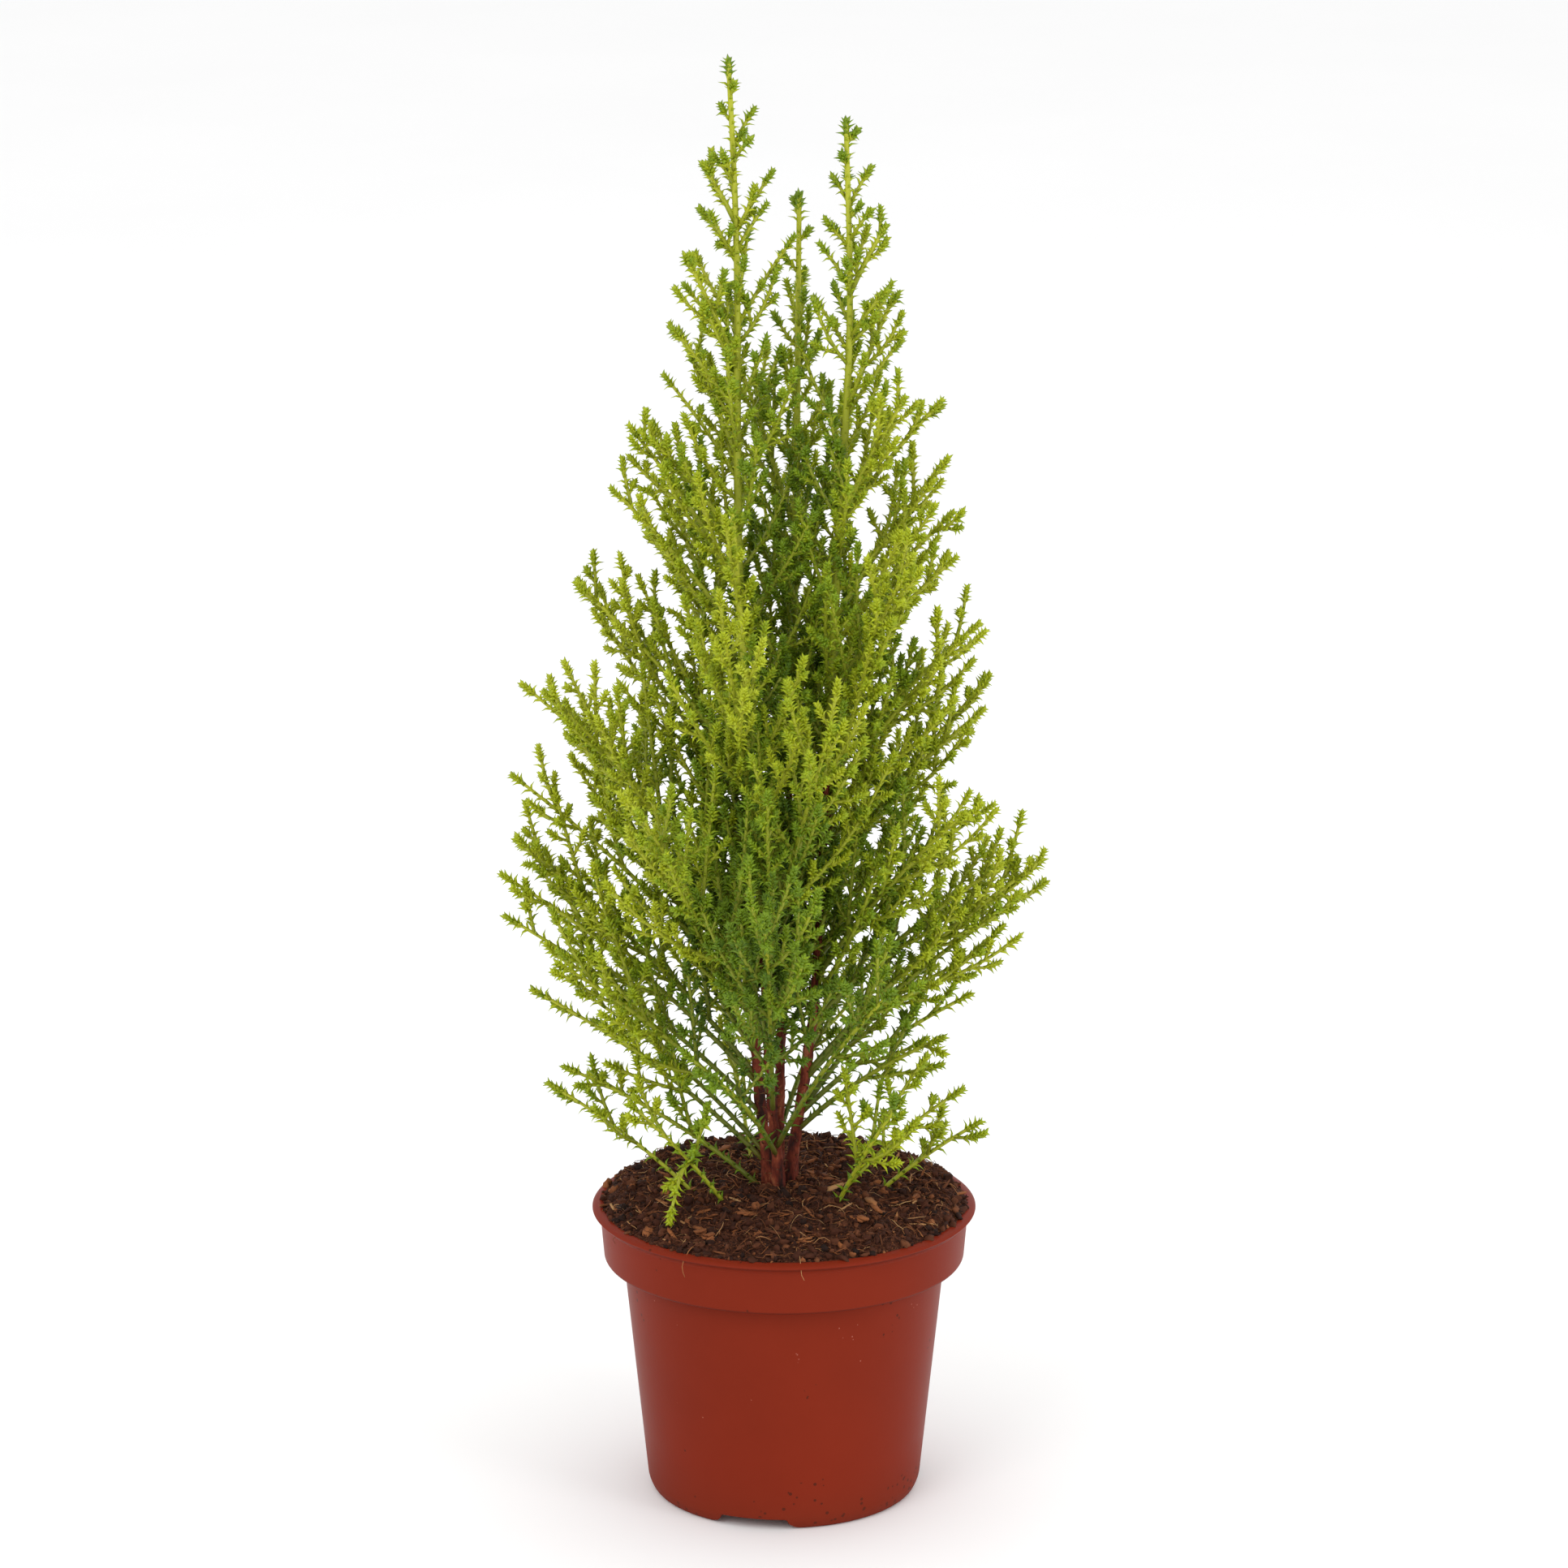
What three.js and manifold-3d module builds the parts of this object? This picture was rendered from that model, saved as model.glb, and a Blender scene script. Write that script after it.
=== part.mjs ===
// A small lemon cypress in a plastic nursery pot, in millimetres, +Z up.
// The origin is on the floor under the middle of the pot. -Y is the front.
//
// The pot holds the potting mix. Four woody leaders and five basal shoots stand in holes in the mix, and
// each leader carries its own branches, which fan out over its own quarter of the crown. A branch is drawn
// as the outer shape of its needle-clad shoots: a main shoot with side shoots to its left and right.

import * as THREE from "three";
import { mergeVertices } from "three/addons/utils/BufferGeometryUtils.js";
import Module from "manifold-3d";

const wasm = await Module();
wasm.setup();

// ---- Sizes -------------------------------------------------------------------------------------------

const CLEARANCE = 0.3; // between pieces that touch

// The pot
const POT_HEIGHT = 101;
const LIP_RADIUS = 65;
const LIP_HEIGHT = 3.6;
const LIP_OVERHANG = 2.8; // how far the lip stands out from the collar
const COLLAR_HEIGHT = 18.6; // from the top of the lip to the step
const COLLAR_TAPER = 1.2; // how much narrower the collar is at the step, on its radius
const STEP_WIDTH = 6.5; // from the collar in to the body
const BODY_TAPER = 8.2; // how much narrower the body is at its foot, on its radius
const FOOT_ROUNDING = 4;
const WALL = 1.2;
const FOOT_HEIGHT = 4;
const FOOT_RING_WIDTH = 11;
const CHANNEL_WIDTH = 23; // the gap between two feet
const CHANNELS = 3;
const FIRST_CHANNEL_ANGLE = 257; // degrees from +X
const DRAIN_HOLES = 6;
const DRAIN_RADIUS = 3.5;
const DRAIN_CIRCLE_RADIUS = 25;
const POT_SEGMENTS = 40;

// The potting mix
const MIX_EDGE_DROP = 1.5; // below the top of the lip, at the wall
const MIX_MOUND = 8; // how far its middle stands above its edge
const MIX_ROUGHNESS = 0.9; // height of its bumps
const MIX_RINGS = 6;

// The crown, measured from the top of the pot and from the middle
const CROWN_HEIGHT = 389; // up to the tip of the tallest leader
const CROWN_RADIUS = 92; // out to the tips of the longest branches

// The leaders: where each leaves the mix and the points it then passes through, as [x, y, share of the
// crown's height]. Its last point is its tip.
const LEADER_FOOT_RADIUS = 2.3;
const LEADER_TOP_RADIUS = 1.3;
const LEADER_DEPTH = 25; // below the top of the pot
const LEADER_SIDES = 8;
const LEADER_STEPS = 18;
const LEADERS = {
  left: {
    quarter: 180,
    path: [[-4.8, -0.8, 0.01], [-10, 0, 0.15], [-12, 1, 0.38], [-15, 2, 0.58], [-15.5, 3, 0.85], [-18, 3, 1]],
    branches: 11,
  },
  right: {
    quarter: 0,
    path: [[1.4, 0.8, 0.01], [9, 0, 0.15], [14, 1, 0.38], [17, 1, 0.54], [21.5, 2, 0.78], [20, 2, 0.95]],
    branches: 11,
  },
  back: {
    quarter: 90,
    path: [[-2, 5.8, 0.01], [-1, 12, 0.15], [2, 16, 0.38], [4, 19, 0.62], [5, 20, 0.88]],
    branches: 11,
  },
  front: {
    quarter: 270,
    path: [[-1.6, -6, 0.01], [-5.5, -11.5, 0.15], [-10, -15, 0.38], [-17, -19, 0.63]],
    branches: 6,
  },
};

// How far out the branch tips reach on the left and on the right, as [share of the crown's height, share
// of its radius]
const CROWN_LEFT = [[0.1, 0.7], [0.18, 0.87], [0.28, 1], [0.4, 1], [0.55, 0.78], [0.77, 0.42], [1, 0.2]];
const CROWN_RIGHT = [[0.1, 0.5], [0.18, 0.68], [0.28, 1], [0.36, 0.8], [0.61, 0.63], [0.81, 0.4], [1, 0.3]];

// The branches
const QUARTER_GAP = 10; // degrees left free between one leader's branches and the next leader's
const BASAL_GAP = 12; // from the highest tip of the basal shoots to a leader's lowest branch tip
const TOP_MARGIN = 36; // from the highest branch tip to the leader's own
const LOWEST_BASE = 16; // height of the lowest branch base above the top of the pot
const SLOPE_LOW = 0.75; // rise over reach of the lowest branch
const SLOPE_HIGH = 1.7; // and of the highest
const BEND_OUT = 0.42; // where along its reach a branch bends
const BEND_UP = 0.13; // how far it arches above a straight line there, as a share of its reach
const SHOOT_RADIUS = 2.8; // over the needles
const NECK_RADIUS = 0.9; // where a branch meets its leader
const NECK_LENGTH = 13;
const SHOOT_SIDES = 5;
const SHOOT_STEP = 17; // between two rings of a branch
const SIDE_SHOOTS = 6; // on a branch
const SIDE_SHOOT_SHARE = 0.3; // of its branch's length, at the branch's middle
const SIDE_SHOOT_ANGLE = 36; // degrees from its branch
const SIDE_SHOOT_TURN = 137.5; // degrees round the branch from each to the next
const SIDE_SHOOT_RADIUS = 2.2;
const SIDE_SHOOT_SIDES = 4;
const SIDE_SHOOT_FROM = 0.3; // share of the branch before the first
const SIDE_SHOOT_TO = 0.85; // and before the last

// The basal shoots: where each leaves the mix, [x, y], and its tip, [x, y, share of the crown's height]
const BASAL_DEPTH = 6; // below the top of the pot
const BASAL_SHOOTS = {
  left: { foot: [-21, -3], tip: [-80, -7, 0.095] },
  front_left: { foot: [-14, -10], tip: [-47, -50, 0.115] },
  front_right: { foot: [14, -10], tip: [46, -48, 0.125] },
  right: { foot: [22, -2], tip: [67, -3, 0.07] },
  back: { foot: [-9, 19], tip: [-28, 66, 0.11] },
};

// ---- Sizes that follow -------------------------------------------------------------------------------

const degrees = THREE.MathUtils.degToRad;
const COLLAR_TOP_RADIUS = LIP_RADIUS - LIP_OVERHANG;
const COLLAR_FOOT_RADIUS = COLLAR_TOP_RADIUS - COLLAR_TAPER;
const BODY_TOP_RADIUS = COLLAR_FOOT_RADIUS - STEP_WIDTH;
const BODY_FOOT_RADIUS = BODY_TOP_RADIUS - BODY_TAPER;
const STEP_HEIGHT = POT_HEIGHT - COLLAR_HEIGHT;
const RING_OUTER_RADIUS = BODY_FOOT_RADIUS - FOOT_ROUNDING;
const RING_INNER_RADIUS = BODY_FOOT_RADIUS - FOOT_RING_WIDTH;
const MIX_EDGE_HEIGHT = POT_HEIGHT - MIX_EDGE_DROP;
const BASAL_TOP_SHARE = Math.max(...Object.values(BASAL_SHOOTS).map((shoot) => shoot.tip[2]));
const LOWEST_TIP = BASAL_TOP_SHARE * CROWN_HEIGHT + BASAL_GAP;
const GOLDEN_SHARE = (Math.sqrt(5) - 1) / 2; // spreads branches evenly in any number
const CONE_AXIS = new THREE.Vector3(0, 1, 0); // a cone's, as it is made

// ---- Tools -------------------------------------------------------------------------------------------

// A closed geometry as a manifold-3d solid.
function solidOf(geometry) {
  const bare = geometry.index ? geometry.toNonIndexed() : geometry.clone();
  bare.deleteAttribute("normal");
  bare.deleteAttribute("uv");
  const merged = mergeVertices(bare, 1e-4);
  return new wasm.Manifold(
    new wasm.Mesh({
      numProp: 3,
      vertProperties: merged.attributes.position.array,
      triVerts: new Uint32Array(merged.index.array),
    }),
  );
}

// A manifold-3d solid as a geometry.
function geometryOf(solid) {
  const mesh = solid.getMesh();
  const geometry = new THREE.BufferGeometry();
  geometry.setAttribute("position", new THREE.BufferAttribute(mesh.vertProperties, 3));
  geometry.setIndex(new THREE.BufferAttribute(mesh.triVerts, 1));
  geometry.computeVertexNormals();
  return geometry;
}

// A solid turned about the Z axis. The profile is a list of [radius, height] that runs from the axis,
// along the underside and up the outside, and back to the axis.
function turned(profile) {
  const points = profile.map(([radius, height]) => new THREE.Vector2(radius, height));
  const geometry = new THREE.LatheGeometry(points, POT_SEGMENTS);
  geometry.rotateX(Math.PI / 2); // a lathe turns about Y
  return solidOf(geometry);
}

// A closed round tube along a curve, whose radius may change along it, from a share of 0 to 1. It may
// start a little before the curve does.
function tube(curve, radiusAt, sides, steps, lead = 0) {
  const { tangents, normals, binormals } = curve.computeFrenetFrames(steps, false);
  const positions = [];
  for (let i = 0; i <= steps; i++) {
    const centre = curve.getPointAt(i / steps);
    if (i === 0) centre.addScaledVector(tangents[0], -lead);
    for (let j = 0; j < sides; j++) {
      const angle = (j / sides) * 2 * Math.PI;
      const out = normals[i].clone().multiplyScalar(Math.cos(angle));
      out.addScaledVector(binormals[i], Math.sin(angle));
      positions.push(...centre.clone().addScaledVector(out, radiusAt(i / steps)));
    }
  }
  const start = positions.length / 3;
  positions.push(...curve.getPointAt(0).addScaledVector(tangents[0], -lead), ...curve.getPointAt(1));
  const faces = [];
  for (let j = 0; j < sides; j++) {
    const next = (j + 1) % sides;
    for (let i = 0; i < steps; i++) {
      const [a, b] = [i * sides + j, i * sides + next];
      faces.push(a, b, b + sides, a, b + sides, a + sides);
    }
    faces.push(start, next, j);
    faces.push(start + 1, steps * sides + j, steps * sides + next);
  }
  const geometry = new THREE.BufferGeometry();
  geometry.setAttribute("position", new THREE.Float32BufferAttribute(positions, 3));
  geometry.setIndex(faces);
  return geometry;
}

// The value at x of a line through points given as [x, value], level beyond its ends.
function along(points, x) {
  if (x <= points[0][0]) return points[0][1];
  for (let i = 1; i < points.length; i++) {
    const [x0, v0] = points[i - 1];
    const [x1, v1] = points[i];
    if (x <= x1) return THREE.MathUtils.mapLinear(x, x0, x1, v0, v1);
  }
  return points[points.length - 1][1];
}

// ---- Pot ---------------------------------------------------------------------------------------------

// The channels between the feet, each grown by some margin.
function channels(margin) {
  const boxes = [];
  for (let i = 0; i < CHANNELS; i++) {
    const length = LIP_RADIUS;
    const box = new THREE.BoxGeometry(length, CHANNEL_WIDTH + 2 * margin, 2 * (FOOT_HEIGHT + margin));
    box.translate(RING_INNER_RADIUS - WALL - margin + length / 2, 0, 0);
    box.rotateZ(degrees(FIRST_CHANNEL_ANGLE + (i * 360) / CHANNELS));
    boxes.push(solidOf(box));
  }
  return wasm.Manifold.union(boxes);
}

// The rounded corner where the wall meets the foot, set in from the outside by some margin.
function footCorner(margin) {
  const radius = FOOT_ROUNDING - margin;
  const corner = [];
  for (const angle of [0, 30, 60, 85]) {
    const turn = degrees(angle);
    corner.push([
      RING_OUTER_RADIUS + radius * Math.sin(turn),
      FOOT_ROUNDING - radius * Math.cos(turn),
    ]);
  }
  return corner;
}

function potOutside() {
  return turned([
    [0, FOOT_HEIGHT],
    [RING_INNER_RADIUS, FOOT_HEIGHT],
    [RING_INNER_RADIUS + 0.5, 0],
    ...footCorner(0),
    [BODY_TOP_RADIUS, STEP_HEIGHT - 0.6],
    [COLLAR_FOOT_RADIUS - 1, STEP_HEIGHT],
    [COLLAR_FOOT_RADIUS, STEP_HEIGHT + 1],
    [COLLAR_TOP_RADIUS, POT_HEIGHT - LIP_HEIGHT],
    [LIP_RADIUS - 0.6, POT_HEIGHT - LIP_HEIGHT],
    [LIP_RADIUS, POT_HEIGHT - LIP_HEIGHT / 2],
    [LIP_RADIUS - 1, POT_HEIGHT - 0.4],
    [COLLAR_TOP_RADIUS, POT_HEIGHT],
    [0, POT_HEIGHT],
  ]).subtract(channels(0));
}

// What the pot holds, set in from its inside by some margin, up to the heights of topProfile, a list of
// [radius, height] that starts at the wall and ends on the axis.
function potInside(margin, topProfile) {
  const inset = WALL + margin;
  const inside = turned([
    [0, FOOT_HEIGHT + inset],
    [RING_INNER_RADIUS + inset, FOOT_HEIGHT + inset],
    [RING_INNER_RADIUS + inset + 0.5, inset],
    ...footCorner(inset),
    [BODY_TOP_RADIUS - inset, STEP_HEIGHT + inset],
    [COLLAR_FOOT_RADIUS - inset, STEP_HEIGHT + inset + 1],
    ...topProfile,
  ]);
  return inside.subtract(channels(inset));
}

function makePot() {
  const above = POT_HEIGHT + WALL;
  const mouth = COLLAR_TOP_RADIUS - WALL;
  let pot = potOutside().subtract(potInside(0, [[mouth, POT_HEIGHT], [mouth, above], [0, above]]));
  for (let i = 0; i < DRAIN_HOLES; i++) {
    const angle = degrees(FIRST_CHANNEL_ANGLE + ((i + 0.5) * 360) / DRAIN_HOLES);
    const drill = new THREE.CylinderGeometry(DRAIN_RADIUS, DRAIN_RADIUS, 4 * FOOT_HEIGHT, 12);
    drill.rotateX(Math.PI / 2);
    drill.translate(DRAIN_CIRCLE_RADIUS * Math.cos(angle), DRAIN_CIRCLE_RADIUS * Math.sin(angle), 0);
    pot = pot.subtract(solidOf(drill));
  }
  return geometryOf(pot);
}

// ---- Potting mix -------------------------------------------------------------------------------------

// How far the mix rises above its edge, at some distance and angle from the middle.
function mixRise(radius, angle) {
  const share = radius / COLLAR_TOP_RADIUS;
  const mound = MIX_MOUND * (1 - share ** 2);
  const bumps = Math.sin(5 * angle + 9 * share) + Math.sin(3 * angle - 14 * share);
  return mound + MIX_ROUGHNESS * bumps * share * (1 - share);
}

function mixHeightAt(x, y) {
  return MIX_EDGE_HEIGHT + mixRise(Math.hypot(x, y), Math.atan2(y, x));
}

// The mix, with a hole for each thing that stands in it.
function makeMix(holes) {
  const edge = COLLAR_TOP_RADIUS - WALL - CLEARANCE;
  const top = [];
  for (let i = 0; i < MIX_RINGS; i++) top.push([edge * (1 - i / MIX_RINGS), MIX_EDGE_HEIGHT]);
  top.push([0, MIX_EDGE_HEIGHT]);
  const geometry = geometryOf(potInside(CLEARANCE, top));
  const position = geometry.attributes.position;
  const isTop = (height) => height > MIX_EDGE_HEIGHT - 1e-3;
  for (let i = 0; i < position.count; i++) {
    if (isTop(position.getZ(i))) position.setZ(i, mixHeightAt(position.getX(i), position.getY(i)));
  }
  return geometryOf(solidOf(geometry).subtract(wasm.Manifold.union(holes)));
}

// ---- Leaders -----------------------------------------------------------------------------------------

function leaderCurve({ path }) {
  const [footX, footY] = path[0];
  const points = [new THREE.Vector3(footX, footY, POT_HEIGHT - LEADER_DEPTH)];
  for (const [x, y, share] of path) points.push(new THREE.Vector3(x, y, POT_HEIGHT + share * CROWN_HEIGHT));
  return new THREE.CatmullRomCurve3(points, false, "centripetal");
}

// A leader thins from its foot, then its needle-clad top ends in a point.
function leaderRadius(share) {
  const taper = THREE.MathUtils.lerp(LEADER_FOOT_RADIUS, LEADER_TOP_RADIUS, Math.min(1, share * 1.4));
  return share > 0.97 ? taper * 0.5 : taper;
}

function leaderTube(leader, margin) {
  const radiusAt = (share) => leaderRadius(share) + margin;
  return tube(leaderCurve(leader), radiusAt, LEADER_SIDES, LEADER_STEPS, margin);
}

// ---- Branches ----------------------------------------------------------------------------------------

// A shoot's curve: it leaves its base, arches a little above a straight line, and ends at its tip.
function shootCurve(base, tip) {
  const reach = Math.hypot(tip.x - base.x, tip.y - base.y);
  const bend = base.clone().lerp(tip, BEND_OUT);
  bend.z += BEND_UP * reach;
  return new THREE.QuadraticBezierCurve3(base, bend, tip);
}

// A shoot's radius over its needles: a thin neck, a full middle and a pointed tip.
function shootRadius(share, length) {
  const neck = THREE.MathUtils.smoothstep(share * length, 0, NECK_LENGTH);
  return THREE.MathUtils.lerp(NECK_RADIUS, SHOOT_RADIUS * (1 - 0.7 * share ** 4), neck);
}

// A main shoot over its needles, or the hole for it.
function mainShoot(curve, margin) {
  const length = curve.getLength();
  const radiusAt = (share) => shootRadius(share, length) + margin;
  return solidOf(tube(curve, radiusAt, SHOOT_SIDES, Math.ceil(length / SHOOT_STEP), margin));
}

// One of a branch's side shoots. It leaves the branch at some share of its length, on the side that the
// turn gives, in degrees from level.
function sideShoot(curve, share, turn) {
  const base = curve.getPointAt(share);
  const ahead = curve.getTangentAt(share);
  const side = new THREE.Vector3(-ahead.y, ahead.x, 0).normalize();
  side.applyAxisAngle(ahead, degrees(turn));
  const direction = ahead.applyAxisAngle(side.cross(ahead).normalize(), degrees(SIDE_SHOOT_ANGLE));
  const shootLength = curve.getLength() * SIDE_SHOOT_SHARE * (1.5 - share);
  const tip = base.clone().addScaledVector(direction, shootLength);
  const cone = new THREE.ConeGeometry(SIDE_SHOOT_RADIUS, shootLength, SIDE_SHOOT_SIDES, 1);
  cone.applyQuaternion(new THREE.Quaternion().setFromUnitVectors(CONE_AXIS, direction));
  cone.translate(...base.lerp(tip, 0.5));
  return solidOf(cone);
}

// A branch: its main shoot with its side shoots, as one solid.
function makeBranch(curve) {
  const shoots = [mainShoot(curve, 0)];
  for (let i = 0; i < SIDE_SHOOTS; i++) {
    const share = THREE.MathUtils.lerp(SIDE_SHOOT_FROM, SIDE_SHOOT_TO, i / (SIDE_SHOOTS - 1));
    shoots.push(sideShoot(curve, share, i * SIDE_SHOOT_TURN));
  }
  return geometryOf(wasm.Manifold.union(shoots));
}

// The crown's radius in a direction, at a height above the top of the pot.
function crownRadius(height, angle) {
  const share = height / CROWN_HEIGHT;
  const rightShare = (1 + Math.cos(angle)) / 2;
  return CROWN_RADIUS * THREE.MathUtils.lerp(along(CROWN_LEFT, share), along(CROWN_RIGHT, share), rightShare);
}

// The point on a leader at a height above the top of the pot.
function leaderPointAt(curve, height) {
  let [low, high] = [0, 1];
  for (let i = 0; i < 30; i++) {
    const middle = (low + high) / 2;
    if (curve.getPointAt(middle).z < POT_HEIGHT + height) low = middle;
    else high = middle;
  }
  return { point: curve.getPointAt(low), share: low };
}

// The curves of a leader's branches. The branches are spaced evenly in height, and their directions go
// round the leader's quarter by the golden share, so that no two neighbours lie alike.
function branchCurves(leader) {
  const curve = leaderCurve(leader);
  const top = leader.path[leader.path.length - 1][2] * CROWN_HEIGHT;
  const branches = [];
  for (let i = 0; i < leader.branches; i++) {
    const rank = i / (leader.branches - 1);
    const tipHeight = THREE.MathUtils.lerp(LOWEST_TIP, top - TOP_MARGIN, rank);
    const turn = (((i + 0.5) * GOLDEN_SHARE) % 1) - 0.5;
    const angle = degrees(leader.quarter + (90 - QUARTER_GAP) * turn);
    const tip = new THREE.Vector3(Math.cos(angle), Math.sin(angle), 0);
    tip.multiplyScalar(crownRadius(tipHeight, angle));
    tip.z = POT_HEIGHT + tipHeight;
    const slope = THREE.MathUtils.lerp(SLOPE_LOW, SLOPE_HIGH, rank);
    const from = leaderPointAt(curve, tipHeight).point;
    const reach = Math.hypot(tip.x - from.x, tip.y - from.y);
    const baseHeight = Math.max(LOWEST_BASE + i, tipHeight - slope * reach);
    const { point, share } = leaderPointAt(curve, baseHeight);
    const outward = new THREE.Vector3(tip.x - point.x, tip.y - point.y, 0).normalize();
    const base = point.clone().addScaledVector(outward, leaderRadius(share) + NECK_RADIUS + CLEARANCE);
    branches.push(shootCurve(base, tip));
  }
  return branches;
}

// ---- Basal shoots ------------------------------------------------------------------------------------

function basalCurve({ foot, tip }) {
  const base = new THREE.Vector3(foot[0], foot[1], POT_HEIGHT - BASAL_DEPTH);
  return shootCurve(base, new THREE.Vector3(tip[0], tip[1], POT_HEIGHT + tip[2] * CROWN_HEIGHT));
}

// ---- The plant in its pot ----------------------------------------------------------------------------

const potMaterial = new THREE.MeshStandardMaterial({ color: 0x8c3626, roughness: 0.42, metalness: 0 });
const mixMaterial = new THREE.MeshStandardMaterial({ color: 0x3b2116, roughness: 0.95, metalness: 0 });
const barkMaterial = new THREE.MeshStandardMaterial({ color: 0x6b3018, roughness: 0.85, metalness: 0 });
const leafMaterial = new THREE.MeshStandardMaterial({ color: 0x86982a, roughness: 0.6, metalness: 0 });

const plant = new THREE.Group();

function add(name, geometry, material) {
  const mesh = new THREE.Mesh(geometry, material);
  mesh.name = name;
  plant.add(mesh);
}

const leaderHoles = Object.values(LEADERS).map((leader) => solidOf(leaderTube(leader, CLEARANCE)));
const basalHoles = Object.values(BASAL_SHOOTS).map((shoot) => mainShoot(basalCurve(shoot), CLEARANCE));

add("pot", makePot(), potMaterial);
add("potting_mix", makeMix([...leaderHoles, ...basalHoles]), mixMaterial);

for (const [side, leader] of Object.entries(LEADERS)) {
  add(`leader_${side}`, leaderTube(leader, 0), barkMaterial);
  branchCurves(leader).forEach((curve, i) => {
    const number = String(i + 1).padStart(2, "0");
    add(`branch_${side}_${number}`, makeBranch(curve), leafMaterial);
  });
}

for (const [place, shoot] of Object.entries(BASAL_SHOOTS)) {
  add(`basal_shoot_${place}`, makeBranch(basalCurve(shoot)), leafMaterial);
}

export default plant;
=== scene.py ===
"""A young lemon cypress in a plastic nursery pot.

Each piece has an operator, and the panel in the 3D view's sidebar lists them. Everything is in metres, in
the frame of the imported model: +Z up, -Y the front, and the origin under the middle of the pot.
"""

import math

import bmesh
import bpy
import numpy as np
from bpy.props import FloatProperty, FloatVectorProperty, IntProperty, PointerProperty
from bpy.types import Operator, Panel, PropertyGroup
from mathutils import Matrix, Vector, noise


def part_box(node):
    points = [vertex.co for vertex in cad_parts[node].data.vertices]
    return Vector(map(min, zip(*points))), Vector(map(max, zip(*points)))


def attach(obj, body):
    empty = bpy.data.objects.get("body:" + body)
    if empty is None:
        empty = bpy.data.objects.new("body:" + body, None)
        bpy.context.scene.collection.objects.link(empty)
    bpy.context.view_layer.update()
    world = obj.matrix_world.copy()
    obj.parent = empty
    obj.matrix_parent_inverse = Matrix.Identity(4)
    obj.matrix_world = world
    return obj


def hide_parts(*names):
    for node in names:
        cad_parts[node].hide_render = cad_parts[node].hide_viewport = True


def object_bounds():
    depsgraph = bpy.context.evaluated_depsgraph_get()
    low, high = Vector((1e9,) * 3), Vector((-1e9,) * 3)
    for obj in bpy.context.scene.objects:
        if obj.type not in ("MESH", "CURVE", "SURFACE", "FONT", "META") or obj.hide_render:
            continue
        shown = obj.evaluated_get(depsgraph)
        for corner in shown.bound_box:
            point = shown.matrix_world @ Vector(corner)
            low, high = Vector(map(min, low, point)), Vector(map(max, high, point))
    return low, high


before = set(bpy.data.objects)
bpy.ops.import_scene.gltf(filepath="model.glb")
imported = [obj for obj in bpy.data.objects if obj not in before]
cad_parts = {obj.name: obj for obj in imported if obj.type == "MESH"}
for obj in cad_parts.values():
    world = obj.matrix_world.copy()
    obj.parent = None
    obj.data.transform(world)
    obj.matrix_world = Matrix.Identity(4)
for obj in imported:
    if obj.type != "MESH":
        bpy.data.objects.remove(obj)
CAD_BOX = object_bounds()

bl_info = {
    "name": "Potted cypress",
    "version": (1, 0, 0),
    "blender": (4, 5, 0),
    "location": "View3D > Sidebar > Cypress",
    "description": "Makes a young lemon cypress in a nursery pot around its packed frame",
    "category": "Object",
}

MM = 0.001
UP = np.array([0.0, 0.0, 1.0])
GOLDEN_TURN = math.radians(137.5)
PALETTE = "OFBake"  # the map whose u holds a tone and whose v holds a place along a needle, twig or crumb
TWIG_TONE = 0.06  # the map's u on twigs
NEEDLES_FROM = 0.14  # above this u, the map stands for needles
DEEPEST, BRIGHTEST = 0.19, 0.97  # the u of the darkest and the brightest needles

# ---- Places worked out from the frame ------------------------------------------------------------------

POT_LOW, POT_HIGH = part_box("pot")
POT_TOP = POT_HIGH.z
LIP_RADIUS = (POT_HIGH.x - POT_LOW.x) / 2
MIX_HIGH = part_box("potting_mix")[1]
MIX_TOP = MIX_HIGH.z
CROWN_TOP = CAD_BOX[1].z
CROWN_HEIGHT = CROWN_TOP - POT_TOP
QUARTERS = ("left", "right", "back", "front")
RING_GAP = 3 * MM  # the rings of a CAD leader's corners stand further apart than this
BASE_SIZE = 1.2 * MM  # the corners at the base of a CAD branch are at most this far apart
LOW_SHARE = 0.3  # front branches whose tips are lower than this share of the crown leave the stems in view
ARCH_AT = 0.42  # how far along a shoot its arch is steered from, as a share
ARCH_RISE = 0.13  # how far above the straight line it is steered, as a share of its reach outwards
LONG_REACH = 26 * MM  # edge shoots that reach further than this are branches
# Where shoots of the left and the right leader end, x and z in millimetres: first those between the two
# leaders, and then the outermost ones
EDGE_TIPS = {
    "left": [
        (-10, 472), (-11, 465), (-4, 452), (-6, 442), (3, 430),
        (-23, 459), (-27, 440), (-32, 415), (-36, 402), (-39, 384), (-43, 366), (-56, 349), (-68, 314),
        (-86, 282), (-90, 249), (-93, 218), (-92, 203), (-84, 173), (-73, 150),
    ],
    "right": [
        (16, 450), (16, 434), (12, 429), (10, 410),
        (28, 453), (28, 441), (33, 415), (38, 396), (51, 377), (55, 340), (56, 326), (64, 303),
        (66, 271), (69, 242), (75, 222), (87, 212), (62, 173),
    ],
}
# Limbs of the basal shoots: where along the shoot they leave it, and their tips in millimetres
BASAL_LIMBS = {
    "front_left": [(0.5, (-38, -40, 108))],
    "front_right": [(0.3, (59, -20, 147)), (0.45, (20, -40, 160)), (0.6, (47, -34, 163))],
}


def node_points(name):
    """The corners of a CAD node, each once."""
    points = np.array([v.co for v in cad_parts[name].data.vertices])
    return np.unique(points.round(6), axis=0)


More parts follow.
